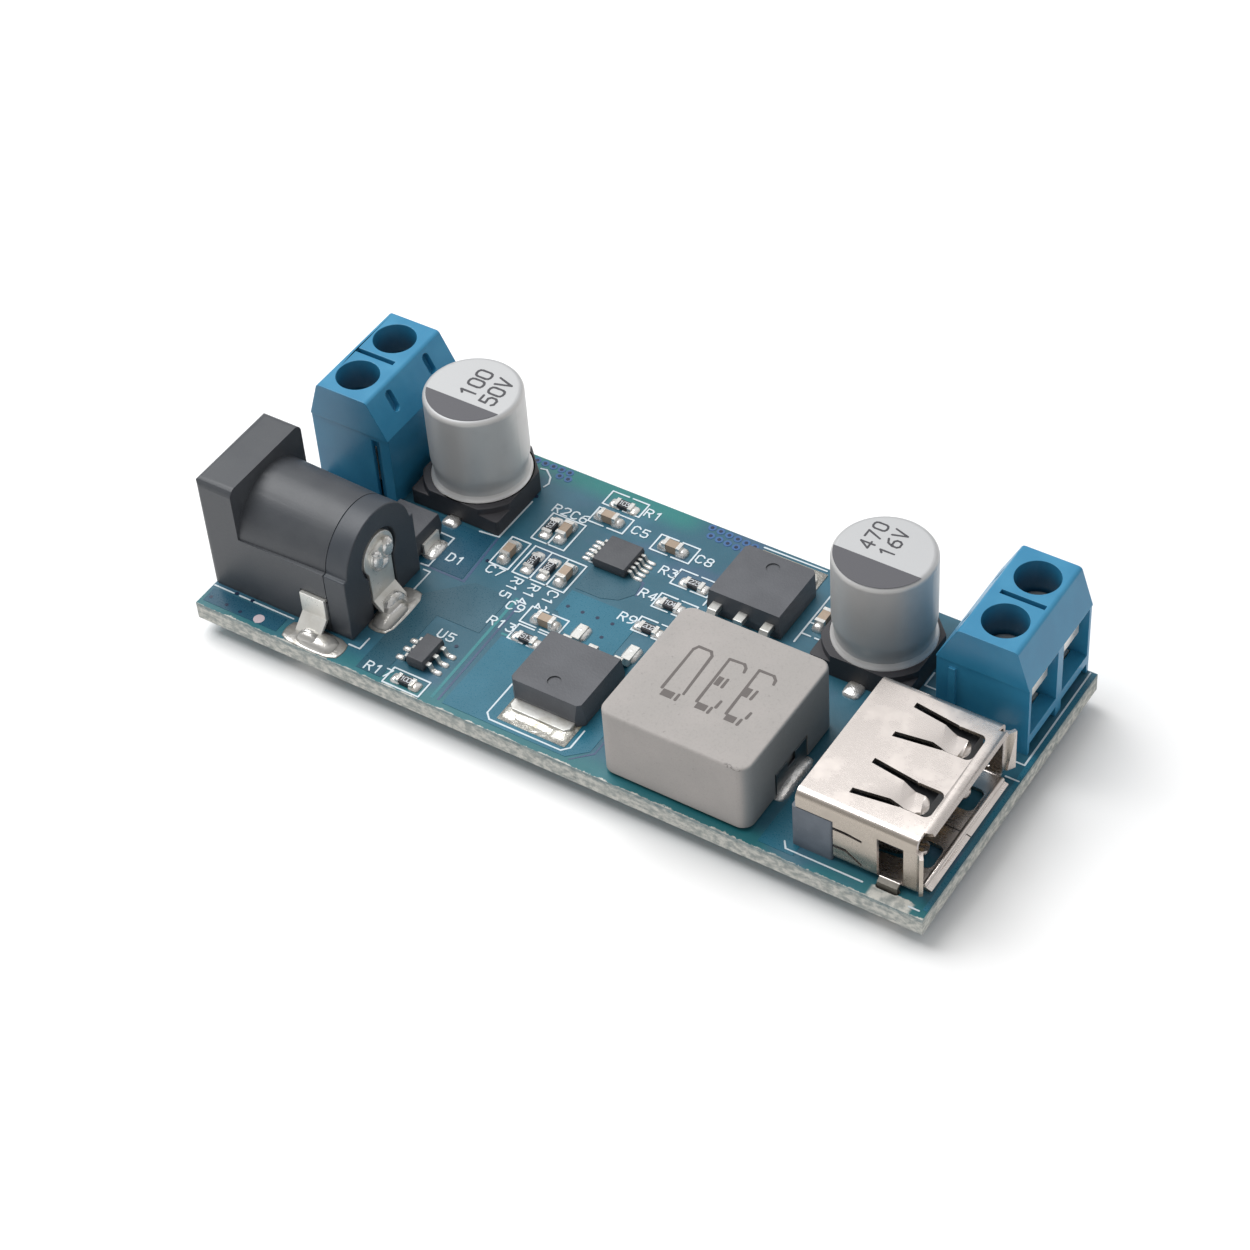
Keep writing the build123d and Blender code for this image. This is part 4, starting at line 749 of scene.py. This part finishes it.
@dataclass
class Board:
    """The drilled board with its mask, copper, vias and print."""

    shop: Workshop
    sunk: float = 0.02
    pour_rise: float = 0.03
    gap_rise: float = 0.012
    ink_level: float = BOARD_TOP + 0.02
    ink_rise: float = 0.02
    line: float = 0.15
    bracket_gap: float = 0.2

    POURS = {
        Finish.POUR: (
            ((22.9, 0.6), (33.9, 0.6), (35.3, 1.9), (35.3, 10.6), (29.5, 10.6), (27.6, 8.6), (22.9, 8.6)),
            ((24.9, 12.9), (25.2, 12.9), (27.2, 10.9), (31.4, 10.9), (31.4, 14.6), (29.9, 15.4),
             (24.9, 15.4)),
            ((33.6, 16.6), (41.8, 16.6), (41.8, 18.2), (35.0, 18.2), (33.6, 17.4)),
            box(50.3, 0.6, 53.2, 14.0),
            box(63.48, 0.8, 63.84, 26.85),
        ),
        # pours in front of the jack and between the jack and the input can, painted darker as shade
        Finish.SHADED_POUR: (
            ((8.5, 12.25), (16.75, 12.25), (16.4, 17.3), (8.5, 17.3)),
            box(0.3, 0.5, 7.4, 2.0),
        ),
        Finish.SLATE_POUR: (
            ((24.9, 15.7), (27.2, 15.7), (28.6, 16.2), (29.4, 17.3), (29.2, 18.6), (28.3, 18.9),
             (24.9, 18.9)),
            ((15.0, 0.5), (17.3, 0.5), (17.3, 8.0), (21.2, 8.0), (21.2, 12.4), (17.9, 12.4), (15.0, 9.5)),
        ),
        Finish.GAP: (
            ((16.85, 12.0), (17.1, 12.0), (16.7, 17.4), (16.5, 17.4)),
            box(8.5, 12.0, 16.85, 12.2),
            ((22.35, 0.7), (22.55, 0.7), (22.3, 12.6), (22.1, 12.6)),
            ((29.45, 17.2), (29.65, 17.2), (29.4, 18.75), (28.5, 19.1), (28.4, 18.95), (29.25, 18.6)),
            ((34.2, 0.5), (34.35, 0.5), (35.75, 1.85), (35.75, 4.5), (35.6, 4.5), (35.6, 1.95)),
        ),
        Finish.BRIGHT_GAP: (
            ((21.75, 0.7), (22.0, 0.7), (21.8, 12.6), (21.55, 12.6)),
            ((22.7, 8.75), (27.5, 8.75), (27.6, 8.9), (22.7, 8.95)),
        ),
    }
    RUNS = (
        ((0.15, 2.25), (2.0, 2.25)), ((2.6, 2.25), (3.6, 2.25)), ((4.0, 2.25), (7.8, 2.25)),
        ((13.2, 2.15), (14.2, 2.15), (14.2, 3.4)), ((14.1, 9.1), (14.1, 11.65), (13.5, 11.65)),
        ((14.9, 17.35), (16.6, 17.54), (16.65, 22.2)),
        ((15.1, 25.8), (15.6, 25.9), (16.35, 25.3), (16.65, 24.6), (16.5, 24.1)),
        ((11.69, 15.77), (13.58, 15.7), (13.6, 12.15), (12.94, 12.1)),
        ((35.45, 26.65), (41.0, 26.7)), ((42.6, 18.95), (42.6, 24.5)), ((34.6, 18.9), (34.6, 24.3)),
        ((53.35, 21.2), (53.35, 19.75), (54.3, 19.75)), ((62.0, 16.25), (63.4, 16.25), (63.4, 26.8)),
        ((62.7, 14.65), (63.75, 14.65)), ((58.6, 0.95), (52.4, 0.95), (52.0, 1.5)),
        ((26.45, 4.8), (26.45, 1.45), (26.95, 0.95), (33.3, 0.95), (33.8, 1.5), (33.8, 3.4)),
        ((24.3, 18.72), (27.1, 18.72)), ((62.5, 0.6), (63.3, 0.6)),
    )
    FRAMES = (
        (19.7, 14.8, 24.47, 18.1), (17.53, 14.83, 19.25, 18.1), (18.86, 18.72, 21.92, 21.94),
        (17.68, 0.2, 21.0, 1.86),
    )
    TICKS = (((21.28, 14.8), (21.28, 18.1)), ((22.83, 14.8), (22.83, 18.1)), ((20.39, 18.72), (20.39, 21.94)))
    BRACKETS = (
        (21.64, 24.78, 25.03, 26.39), (21.7, 22.55, 24.9, 24.3), (27.67, 22.2, 31.2, 24.03),
        (31.08, 19.72, 34.4, 21.45), (31.14, 16.9, 34.4, 18.5), (31.14, 14.0, 34.4, 15.6),
        (23.2, 10.6, 26.55, 12.42), (23.36, 8.67, 26.5, 10.33), (42.6, 20.0, 44.6, 21.3),
    )
    NAMES = {
        "R1": (25.25, 25.17, 0), "C5": (25.38, 23.03, 0), "R2C6": (18.58, 22.12, 0), "C7": (17.78, 13.86, 0),
        "C9": (21.4, 11.28, 0), "R13": (21.08, 9.24, 0), "C8": (31.48, 22.68, 0), "R3": (29.68, 20.28, 0),
        "R4": (29.62, 17.4, 0), "R9": (29.6, 14.47, 0), "R17": (15.6, 0.68, 0), "D1": (14.35, 13.4, 0),
        "U5": (18.52, 6.15, 0), "R15": (20.2, 14.42, -90), "R14": (21.78, 14.42, -90),
        "C12": (23.44, 14.55, -90),
    }

    def lay(self, name: str, work: Work, finish: Finish) -> None:
        """Stands a thin flat piece on the board."""
        self.shop.piece(name, work, finish, "board_laminate", smooth=False)

    def copper(self) -> None:
        """Raised areas of mask over copper, and the bare gaps between them."""
        for finish, outlines in self.POURS.items():
            rise = self.gap_rise if finish in (Finish.GAP, Finish.BRIGHT_GAP) else self.pour_rise
            work = bmesh.new()
            for outline in outlines:
                slab(work, outline, BOARD_TOP - self.sunk, BOARD_TOP + rise)
            self.lay(f"board_{finish.value.name}", work, finish)

    def vias(self) -> None:
        """Tented vias: a dark filled spot, some with a ring of lighter mask, and one pale test pad."""
        spots = [(25.58, 13.75), (26.92, 13.75), (28.25, 13.8), (29.6, 13.8), (29.64, 12.2), (20.5, 6.0)]
        spots += [(0.7, 1.05), (2.3, 0.95), (3.7, 0.85), (2.25, 2.35), (3.8, 2.3), (16.6, 22.9), (17.3, 14.9)]
        ringed = [(30.75 + 0.8 * step, 26.6 - 0.05 * step) for step in range(6)]
        ringed += [(31.1 + 0.8 * step, 25.75 - 0.05 * step) for step in range(5)]
        ringed += [(14.3 + 0.78 * step, 26.5) for step in range(5)] + [(16.9, 25.8), (17.7, 25.8)]
        for name, places, radius, rise, finish in (
            ("board_via_rings", ringed, 0.36, 0.033, Finish.VIA_RING),
            ("board_via_spots", spots + ringed, 0.17, 0.04, Finish.VIA),
            ("board_pale_pads", [(5.45, 0.95)], 0.48, 0.045, Finish.PALE_PAD),
        ):
            work = bmesh.new()
            for x, y in places:
                disc = bmesh.ops.create_cone(
                    work, cap_ends=True, segments=16, radius1=radius, radius2=radius * 0.94, depth=0.05,
                )
                bmesh.ops.translate(work, vec=(x, y, BOARD_TOP + rise - 0.025), verts=disc["verts"])
            self.lay(name, work, finish)

    def print_lines(self) -> None:
        """White outlines round the parts."""
        runs = [*self.RUNS]
        for edges in self.FRAMES:
            corners = box(*edges)
            runs.append((*corners, corners[0]))
        runs += self.TICKS
        for left, low, right, high in self.BRACKETS:
            middle = (left + right) / 2
            near, far = middle - self.bracket_gap, middle + self.bracket_gap
            runs.append(((near, high), (left, high), (left, low), (near, low)))
            runs.append(((far, low), (right, low), (right, high), (far, high)))
        work = bmesh.new()
        for run in runs:
            trace(work, run, self.line, self.ink_rise)
        bmesh.ops.translate(work, vec=(0, 0, self.ink_level), verts=work.verts)
        self.lay("board_printed_outlines", work, Finish.WHITE_INK)

    def print_names(self) -> None:
        """White part numbers beside the parts."""
        work = bmesh.new()
        lettering = Lettering()
        for words, (x, y, turn) in self.NAMES.items():
            lettering.write(work, words, (x, y, self.ink_level), turn, self.ink_rise)
        self.lay("board_printed_names", work, Finish.WHITE_INK)

    def build(self) -> None:
        """Makes all of the board's own work."""
        self.shop.dress(Finish.BOARD, "circuit_board")
        self.shop.dress(Finish.SOLDER, "solder_joints")
        self.copper()
        self.vias()
        self.print_lines()
        self.print_names()


@dataclass
class SmallParts:
    """Chip resistors and capacitors, the two chips, the diode and all their solder."""

    shop: Workshop
    chip_length: float = 1.6
    mound_offset: float = 0.02
    mound_length: float = 1.0
    mound_width: float = 1.02
    mound_rises: Point = (0.62, 0.82)
    resistor_height: float = 0.45
    capacitor_height: float = 0.8
    pad_height: float = 0.09

    RESISTORS = (
        (23.45, 25.2, False), (19.68, 20.35, True), (32.95, 20.3, False), (32.5, 17.5, False),
        (32.4, 14.55, False), (24.85, 9.1, False), (22.1, 16.35, True), (20.6, 16.35, True),
        (19.4, 0.95, False),
    )
    CAPACITORS = (
        (23.2, 23.35, False), (21.0, 20.4, True), (18.4, 16.35, True), (29.4, 22.9, False),
        (25.15, 11.3, False), (43.55, 21.85, True), (23.65, 16.35, True),
    )
    MARKS = ("103", "102", "223", "104", "202", "513", "510", "512", "100")

    def solder(self) -> None:
        """Solder at both ends of every chip part."""
        work = bmesh.new()
        rng = Random(4)
        heights = (self.resistor_height, self.capacitor_height)
        for height, places in zip(heights, (self.RESISTORS, self.CAPACITORS)):
            for x, y, turned in places:
                for side in (-1, 1):
                    reach = side * (self.chip_length / 2 + self.mound_offset)
                    rise = height * rng.uniform(*self.mound_rises)
                    if turned:
                        mounds(work, [(x, y + reach, self.mound_width, self.mound_length, rise)])
                    else:
                        mounds(work, [(x + reach, y, self.mound_length, self.mound_width, rise)])
        self.shop.piece("chip_part_solder", work, Finish.SOLDER, "solder")

    def resistor_marks(self) -> None:
        """Small plain values on the resistors."""
        work = bmesh.new()
        lettering = Lettering(height=0.42, stroke=0.07, pitch=0.3)
        half_height, half_length = lettering.height / 2, 0.42
        top = BOARD_TOP + self.resistor_height - 0.005
        for words, (x, y, turned) in zip(self.MARKS, self.RESISTORS):
            start = (x - half_length, y - half_height, top)
            if turned:
                start = (x + half_height, y - half_length, top)
            lettering.write(work, words, start, 90 if turned else 0, 0.012)
        self.shop.piece("resistor_marks", work, Finish.MARK_INK, "resistor_ceramic", smooth=False)

    def chip_solder(self) -> None:
        """Solder at the leads of the controller, port chip, transistors, diode, inductor and cans."""
        rows = []
        for side in (-1, 1):
            rows += [(26.32 + side * 2.4, 19.85 + (row - 2) * 0.5, 0.75, 0.36, 0.18) for row in range(5)]
            rows += [(19.15 + side * 1.72, 3.9 + (row - 1) * 0.95, 0.75, 0.5, 0.24) for row in range(3)]
        for x, y, way in ((38.42, 21.5, 1), (30.38, 6.35, -1)):
            rows += [(x + column * 2.29, y - way * 5.4, 1.4, 1.7, 0.5) for column in (-1, 1)]
        rows += [(x, 13.9, 1.3, 2.4, 0.4) for x in (13.05, 8.1)]
        rows += [(x, 6.925, 1.5, 4.9, 0.55) for x in (37.0, 49.45)]
        for (x, y), width in ((INPUT_CAN, 1.15), (OUTPUT_CAN, 1.8)):
            rows += [(x, y + side * 4.65, 1.5, width, 0.42) for side in (-1, 1)]
        work = bmesh.new()
        mounds(work, rows)
        self.shop.piece("lead_solder", work, Finish.SOLDER, "solder")

    def tab_solder(self) -> None:
        """Flat solder pads under the transistors' tabs, with a skin of dried flux."""
        work = bmesh.new()
        for outline in (box(27.4, 1.3, 33.4, 5.0), box(35.5, 23.0, 41.3, 26.35)):
            slab(work, outline, BOARD_TOP, BOARD_TOP + self.pad_height)
        mounds(work, (
            (30.2, 2.45, 4.6, 1.5, 0.3), (28.2, 2.3, 1.5, 1.6, 0.24), (32.5, 2.4, 1.7, 1.8, 0.36),
            (38.4, 25.6, 4.8, 1.2, 0.3),
        ))
        self.shop.piece("tab_solder", work, Finish.FLUXED, "solder")

    def build(self) -> None:
        """Dresses and solders the small parts."""
        shop = self.shop
        shop.dress(Finish.RESISTOR, "resistor_ceramics")
        shop.dress(Finish.CERAMIC, "capacitor_ceramics")
        shop.dress(Finish.CHIP_TIN, "resistor_ends", "capacitor_ends")
        shop.dress(Finish.LEAD, "controller_leads", "port_chip_leads")
        shop.dress(Finish.CONTACT_TIN, "diode_terminals")
        for name, width in (("controller", 0.06), ("port_chip", 0.06), ("diode", 0.08)):
            shop.softened(f"{name}_body", Finish.CHIP_EPOXY, "epoxy", width)
        self.solder()
        self.resistor_marks()
        self.chip_solder()
        self.tab_solder()


@dataclass
class Jack:
    """Barrel jack."""

    shop: Workshop
    corner: float = 0.75
    cut_step: int = 15
    strip_face: float = 13.5

    def build(self) -> None:
        """Dresses the jack."""
        shop = self.shop
        shop.softened("jack_housing", Finish.JACK, "jack_plastic", 0.3, 3, self.mouth_corners)
        shop.softened("jack_rear_cap", Finish.JACK_CAP, "jack_plastic", 0.12)
        for name in ("jack_pin_terminal", "jack_switch_contact"):
            shop.softened(name, Finish.CONTACT_TIN, "contact_tin", 0.05)
        shop.dress(Finish.CONTACT_TIN, "jack_centre_pin", "jack_spring_contact")
        self.pools()
        self.fillets()
        self.rivet()

    def mouth_corners(self, work: Work) -> None:
        """Rounds the two upper corners of the square mouth by cuts that touch a cylinder along each.

        Args:
            work: the housing's mesh in millimetres.
        """
        top = max(vert.co.z for vert in work.verts) - self.corner
        near = min(vert.co.y for vert in work.verts) + self.corner
        far = max(vert.co.y for vert in work.verts) - self.corner
        for middle, side in ((near, -1), (far, 1)):
            for turn in range(self.cut_step, 90, self.cut_step):
                away = Vector((0, side * sin(radians(turn)), cos(radians(turn))))
                touch = Vector((0, middle, top)) + away * self.corner
                cut = bmesh.ops.bisect_plane(
                    work, geom=[*work.verts, *work.edges, *work.faces], dist=1e-5,
                    plane_co=touch, plane_no=away, clear_outer=True,
                )
                rim = [item for item in cut["geom_cut"] if isinstance(item, bmesh.types.BMEdge)]
                bmesh.ops.edgeloop_fill(work, edges=rim)

    def pools(self) -> None:
        """Solder at the two outer tails: a wide thin pool and a mound that climbs the tail."""
        work = bmesh.new()
        mounds(work, (
            (10.6, 1.22, 5.5, 2.35, 0.16), (11.0, 1.15, 3.4, 1.9, 0.7), (10.3, 1.0, 2.2, 1.3, 0.95),
            (14.15, 6.9, 2.4, 5.3, 0.16), (14.2, 6.2, 1.9, 3.4, 0.75), (14.1, 6.7, 1.4, 2.6, 1.1),
        ))
        thing = self.shop.piece("jack_tail_solder", work, Finish.POOL, "solder")
        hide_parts("solder_pools")

    def fillets(self) -> None:
        """Bright solder that climbs the rear tail and the side lug."""
        work = bmesh.new()
        mounds(work, (
            (13.9, 7.05, 1.3, 2.7, 1.5), (14.2, 6.6, 1.5, 2.6, 0.9), (10.2, 1.15, 1.7, 1.0, 1.0),
        ))
        self.shop.piece("jack_tail_fillets", work, Finish.SOLDER, "solder")

    def rivet(self) -> None:
        """The pin's head, hammered over the rear strip into two uneven lobes."""
        work = bmesh.new()
        for y, z, wide, tall, rise in (
            (7.75, 7.45, 1.3, 2.0, 0.42), (7.8, 7.9, 0.8, 0.9, 0.5), (6.45, 7.0, 1.1, 1.9, 0.45),
            (6.9, 6.3, 1.7, 0.9, 0.38), (6.3, 7.9, 0.7, 0.5, 0.45),
        ):
            ball = bmesh.ops.create_uvsphere(work, u_segments=18, v_segments=10, radius=0.5)
            bmesh.ops.scale(work, vec=(rise * 2, wide, tall), verts=ball["verts"])
            bmesh.ops.translate(work, vec=(self.strip_face, y, z), verts=ball["verts"])
        self.shop.piece("jack_rivet_head", work, Finish.SOLDER, "contact_tin")


@dataclass
class ScrewTerminal:
    """Two-pole screw terminal with its clamps."""

    shop: Workshop
    side: str
    face: float
    inward: int
    middle: float
    pole_offset: float = 2.5
    nut_depths: Point = (0.62, 0.93)
    nut_heights: Point = (BOARD_TOP + 4.35, BOARD_TOP + 6.35)
    nut_reach: float = 1.72

    def nut_fronts(self) -> None:
        """The tinned front of each contact, behind the upper half of its wire entry."""
        work = bmesh.new()
        front, back = (self.face + self.inward * depth for depth in self.nut_depths)
        for pole in (self.middle - self.pole_offset, self.middle + self.pole_offset):
            near, far = pole - self.nut_reach, pole + self.nut_reach
            slab(work, ((front, near), (front, far), (back, far), (back, near)), *self.nut_heights)
        edges = [edge for edge in work.edges if edge.calc_length() > 1.5]
        bmesh.ops.bevel(work, geom=edges, affect="EDGES", offset=0.08, segments=2, profile=0.5, material=-1)
        self.shop.piece(f"{self.side}_terminal_nut_fronts", work, Finish.CONTACT_TIN, "clamp_tin")

    def build(self) -> None:
        """Dresses the housing and what moves in it."""
        shop = self.shop
        shop.softened(f"{self.side}_terminal_housing", Finish.TERMINAL, "terminal_plastic", 0.07)
        self.nut_fronts()
        for pole in (1, 2):
            shop.dress(Finish.CONTACT_TIN, f"{self.side}_terminal_contact_{pole}")
            shop.dress(Finish.CLAMP_TIN, f"{self.side}_clamp_plate_{pole}")
            shop.dress(Finish.SCREW, f"{self.side}_clamp_screw_{pole}")


@dataclass
class CanCapacitor:
    """Aluminium can capacitor with its printed top."""

    shop: Workshop
    side: str
    centre: Point
    lines: tuple[tuple[str, Point], ...]
    lettering: Lettering
    chord: float
    black_radius: float
    top: float = 12.0
    sunk: float = 0.002
    ink: float = 0.012

    PROFILE = (
        (3.7, 4.3), (3.9, 4.06), (4.05, 3.82), (4.12, 3.56), (4.13, 3.3), (4.06, 2.95), (3.8, 2.87),
    )

    def sector(self) -> None:
        """Black printed segment that marks the negative side."""
        work = bmesh.new()
        bmesh.ops.create_circle(work, cap_ends=True, segments=72, radius=self.black_radius)
        bmesh.ops.bisect_plane(
            work, geom=[*work.verts, *work.edges, *work.faces], plane_co=(0, self.chord, 0),
            plane_no=(0, 1, 0), clear_outer=True,
        )
        raise_up(work, work.faces[:], self.ink)
        bmesh.ops.translate(work, vec=(*self.centre, self.top - self.sunk), verts=work.verts)
        name = f"{self.side}_capacitor_print_segment"
        self.shop.piece(name, work, Finish.SEGMENT_INK, "can_aluminium", smooth=False)

    def words(self) -> None:
        """The value and voltage, reading across the board."""
        work = bmesh.new()
        x, y = self.centre
        for text, (right, up) in self.lines:
            self.lettering.write(work, text, (x + right, y + up, self.top - self.sunk), 90, self.ink)
        name = f"{self.side}_capacitor_print_value"
        self.shop.piece(name, work, Finish.CAN_INK, "can_aluminium", smooth=False)

    def foot(self) -> None:
        """The can's rolled foot, which flares out just above the seat."""
        work = bmesh.new()
        chain = [work.verts.new((reach, 0, height)) for reach, height in self.PROFILE]
        edges = [work.edges.new(pair) for pair in zip(chain, chain[1:])]
        bmesh.ops.spin(
            work, geom=chain + edges, cent=(0, 0, 0), axis=(0, 0, 1), angle=2 * pi, steps=72, use_merge=True,
        )
        bmesh.ops.translate(work, vec=(*self.centre, 0), verts=work.verts)
        self.shop.piece(f"{self.side}_capacitor_rolled_foot", work, Finish.CAN, "can_aluminium")

    def build(self) -> None:
        """Dresses the capacitor and prints its top."""
        self.shop.dress(Finish.CAN, f"{self.side}_capacitor_can")
        self.foot()
        self.shop.softened(f"{self.side}_capacitor_base", Finish.SEAT, "seat_plastic", 0.1)
        self.shop.dress(Finish.LEAD, f"{self.side}_capacitor_leads")
        self.sector()
        self.words()


@dataclass
class Inductor:
    """Pressed power inductor and its stamped value."""

    shop: Workshop
    top: float = 8.1
    stroke: float = 0.25
    sunk: float = 0.004

    THIN = (
        ((39.96, 4.95), (39.93, 9.3), (40.15, 9.72), (41.2, 9.72), (41.48, 9.35), (41.66, 5.15)),
        ((42.85, 5.0), (42.75, 9.72), (43.95, 9.8), (44.25, 9.5), (44.33, 9.1)),
        ((45.3, 5.0), (45.2, 9.8), (46.4, 9.82), (46.72, 9.5), (46.8, 9.1)),
        ((43.7, 7.05), (43.7, 7.88)), ((46.1, 7.05), (46.14, 7.9)), ((44.35, 5.15), (44.38, 5.8)),
        ((46.78, 5.3), (46.82, 5.85)), ((41.42, 4.35), (41.42, 4.9)), ((44.1, 4.42), (44.12, 4.95)),
        ((46.52, 4.45), (46.55, 4.98)),
    )
    HEAVY = (
        ((40.48, 4.6), (40.78, 4.6), 0.66), ((43.2, 7.22), (43.2, 7.7), 0.42),
        ((43.28, 4.7), (43.52, 4.7), 0.62),
        ((45.55, 7.26), (45.55, 7.7), 0.48), ((45.7, 4.72), (45.9, 4.72), 0.62),
    )

    def value(self) -> None:
        """The stamped value 330: thin outlines with heavy blocks where the stamp pressed harder."""
        work = bmesh.new()
        for run in self.THIN:
            trace(work, run, self.stroke, 0.014, 3)
        for near, far, width in self.HEAVY:
            bar(work, near, far, width, 0.02, True)
        bmesh.ops.translate(work, vec=(0, 0, self.top - self.sunk), verts=work.verts)
        self.shop.piece("inductor_stamped_value", work, Finish.DARK_INK, "pressed_powder", smooth=False)

    def build(self) -> None:
        """Dresses the block and its terminals."""
        self.shop.softened("inductor_body", Finish.INDUCTOR, "pressed_powder", 0.03)
        self.shop.softened("inductor_terminals", Finish.SHADED_TIN, "lead_tin", 0.05)
        self.value()


@dataclass
class UsbSocket:
    """USB socket: folded shell with sprung tongues, insulator and contacts."""

    shop: Workshop
    springs: Point = (5.1, 11.2)
    spring_reach: float = 1.66
    spring_spread: float = 1.16
    spring_shift: float = 0.15
    roof: float = 6.3
    slots: Point = (55.9, 62.4)
    bend: Point = (59.2, 60.6)
    bend_shift: float = 0.45
    tip_shift: float = 0.18
    lip_middle: tuple[float, float, float] = (62.72, 8.2, 1.93)
    lip_length: float = 11.7
    lip_radius: float = 0.27

    def spread_springs(self, work: Work) -> None:
        """Widens the roof springs' slots a little and brings their bends back, as the photograph has them.

        Args:
            work: the shell's mesh in millimetres.
        """
        for vert in work.verts:
            x, y, z = vert.co
            if z < self.roof or not self.slots[0] < x < self.slots[1]:
                continue
            for middle in self.springs:
                if abs(y - middle) < self.spring_reach:
                    vert.co.y = middle + self.spring_shift + (y - middle) * self.spring_spread
                    start, end = self.bend
                    vert.co.x = x - (self.bend_shift if start < x < end else self.tip_shift if x > end else 0)

    def lip_roll(self) -> None:
        """The rolled edge of the bottom lip."""
        work = bmesh.new()
        rod = bmesh.ops.create_cone(
            work, cap_ends=True, segments=20, radius1=self.lip_radius, radius2=self.lip_radius,
            depth=self.lip_length,
        )
        bmesh.ops.rotate(work, matrix=Matrix.Rotation(pi / 2, 3, "X"), verts=rod["verts"])
        ends = [edge for edge in work.edges if abs(edge.verts[0].co.y - edge.verts[1].co.y) < 1e-6]
        bmesh.ops.bevel(work, geom=ends, affect="EDGES", offset=0.1, segments=2, profile=0.5, material=-1)
        bmesh.ops.translate(work, vec=self.lip_middle, verts=work.verts)
        self.shop.piece("usb_lip_roll", work, Finish.SHELL, "shell_nickel")

    def build(self) -> None:
        """Dresses shell, insulator and contacts."""
        self.shop.softened("usb_shell", Finish.SHELL, "shell_nickel", 0, reshape=self.spread_springs)
        self.shop.softened("usb_insulator", Finish.INSULATOR, "insulator_plastic", 0.08)
        self.shop.dress(Finish.BRASS, "usb_contacts")
        self.lip_roll()


@dataclass
class Transistor:
    """Power transistor in a flat moulded case."""

    shop: Workshop
    name: str

    def build(self) -> None:
        """Dresses body, tab and leads."""
        self.shop.softened(f"{self.name}_body", Finish.EPOXY, "epoxy", 0.08)
        self.shop.softened(f"{self.name}_leads", Finish.LEAD, "lead_tin", 0.05)


@dataclass
class Studio:
    """Pale floor, soft light and the photograph's camera."""

    floor_height: float = -1.5
    floor_size: float = 600.0
    board_middle: tuple[float, float, float] = (0.032, 0.0135, 0.0)

    def floor(self) -> None:
        """A wide pale floor under the pins."""
        work = bmesh.new()
        bmesh.ops.create_grid(work, x_segments=1, y_segments=1, size=self.floor_size)
        bmesh.ops.translate(work, vec=(32, 13, self.floor_height), verts=work.verts)
        bmesh.ops.scale(work, vec=(MM, MM, MM), verts=work.verts)
        mesh = bpy.data.meshes.new("studio_floor")
        work.to_mesh(mesh)
        work.free()
        s = Shades("studio_floor")
        greys = {0: s.noise(0.01), 6: (0.86, 0.86, 0.86, 1), 7: (0.9, 0.9, 0.9, 1)}
        mesh.materials.append(s.finish(s.node("ShaderNodeMix", {"data_type": "RGBA"}, greys, 2), 0.9))
        floor = placed("studio_floor", mesh)

    def light(self) -> None:
        """Bright surroundings, a broad lamp above the jack's end and a weak panel behind the board."""
        world = bpy.data.worlds.new("studio")
        bpy.context.scene.world = world
        world.use_nodes = True
        ground = world.node_tree.nodes["Background"]
        ground.inputs["Color"].default_value = (1, 1, 1, 1)
        ground.inputs["Strength"].default_value = 0.5
        self.lamp("broad_lamp", (-0.22, 0.02, 0.45), 0.4, 2.6)
        self.lamp("soft_panel", (0.03, 0.36, 0.44), 0.8, 0.68)

    def lamp(self, name: str, offset: tuple[float, float, float], size: float, power: float) -> None:
        """Adds a square lamp that faces the middle of the board.

        Args:
            name: the lamp's name.
            offset: where it stands, in metres from the middle of the board.
            size: its width in metres.
            power: its power in watts.
        """
        lamp = bpy.data.lights.new(name, "AREA")
        lamp.shape = "SQUARE"
        lamp.size = size
        lamp.energy = power
        thing = placed(name, lamp)
        middle = Vector(self.board_middle)
        thing.location = middle + Vector(offset)
        thing.rotation_euler = (middle - thing.location).to_track_quat("-Z", "Y").to_euler()

    def camera(self) -> None:
        """The photograph's viewpoint."""
        lens = bpy.data.cameras.new("photo_camera")
        lens.lens = 89.59
        lens.sensor_width = 36.0
        lens.clip_start = 0.01
        lens.clip_end = 10.0
        right = Vector((0.84244647, 0.53571743, -0.05736531))
        upward = Vector((-0.34690485, 0.62080931, 0.70303117))
        back = Vector((0.41223897, -0.57236583, 0.70884159))
        turned = Matrix((right, upward, back)).transposed().to_4x4()
        thing = placed("photo_camera", lens)
        thing.matrix_world = Matrix.Translation((0.12811, -0.12135, 0.16947)) @ turned
        bpy.context.scene.camera = thing

    def build(self) -> None:
        """Sets the studio up."""
        bpy.context.scene.view_settings.view_transform = "Standard"
        self.camera()
        self.floor()
        self.light()


def main() -> None:
    """Builds the module piece by piece."""
    logging.basicConfig(level=logging.INFO, format="%(message)s")
    shop = Workshop()
    Studio().build()
    Board(shop).build()
    Jack(shop).build()
    ScrewTerminal(shop, "left", face=-0.05, inward=1, middle=21.55).build()
    ScrewTerminal(shop, "right", face=63.1, inward=-1, middle=22.08).build()
    CanCapacitor(
        shop, "input", INPUT_CAN, (("100", (0.47, -0.76)), ("50V", (2.46, -0.89))),
        Lettering(height=1.3, stroke=0.22, pitch=1.12, spread=1.03), chord=-1.5, black_radius=3.7,
    ).build()
    CanCapacitor(
        shop, "output", OUTPUT_CAN, (("470", (-0.98, -0.28)), ("16V", (0.72, -0.3))),
        Lettering(height=1.12, stroke=0.18, pitch=1.05, spread=1.03), chord=-1.15, black_radius=3.82,
    ).build()
    Inductor(shop).build()
    UsbSocket(shop).build()
    for name in ("high_side_transistor", "low_side_transistor"):
        Transistor(shop, name).build()
    SmallParts(shop).build()


if __name__ == "__main__":
    main()
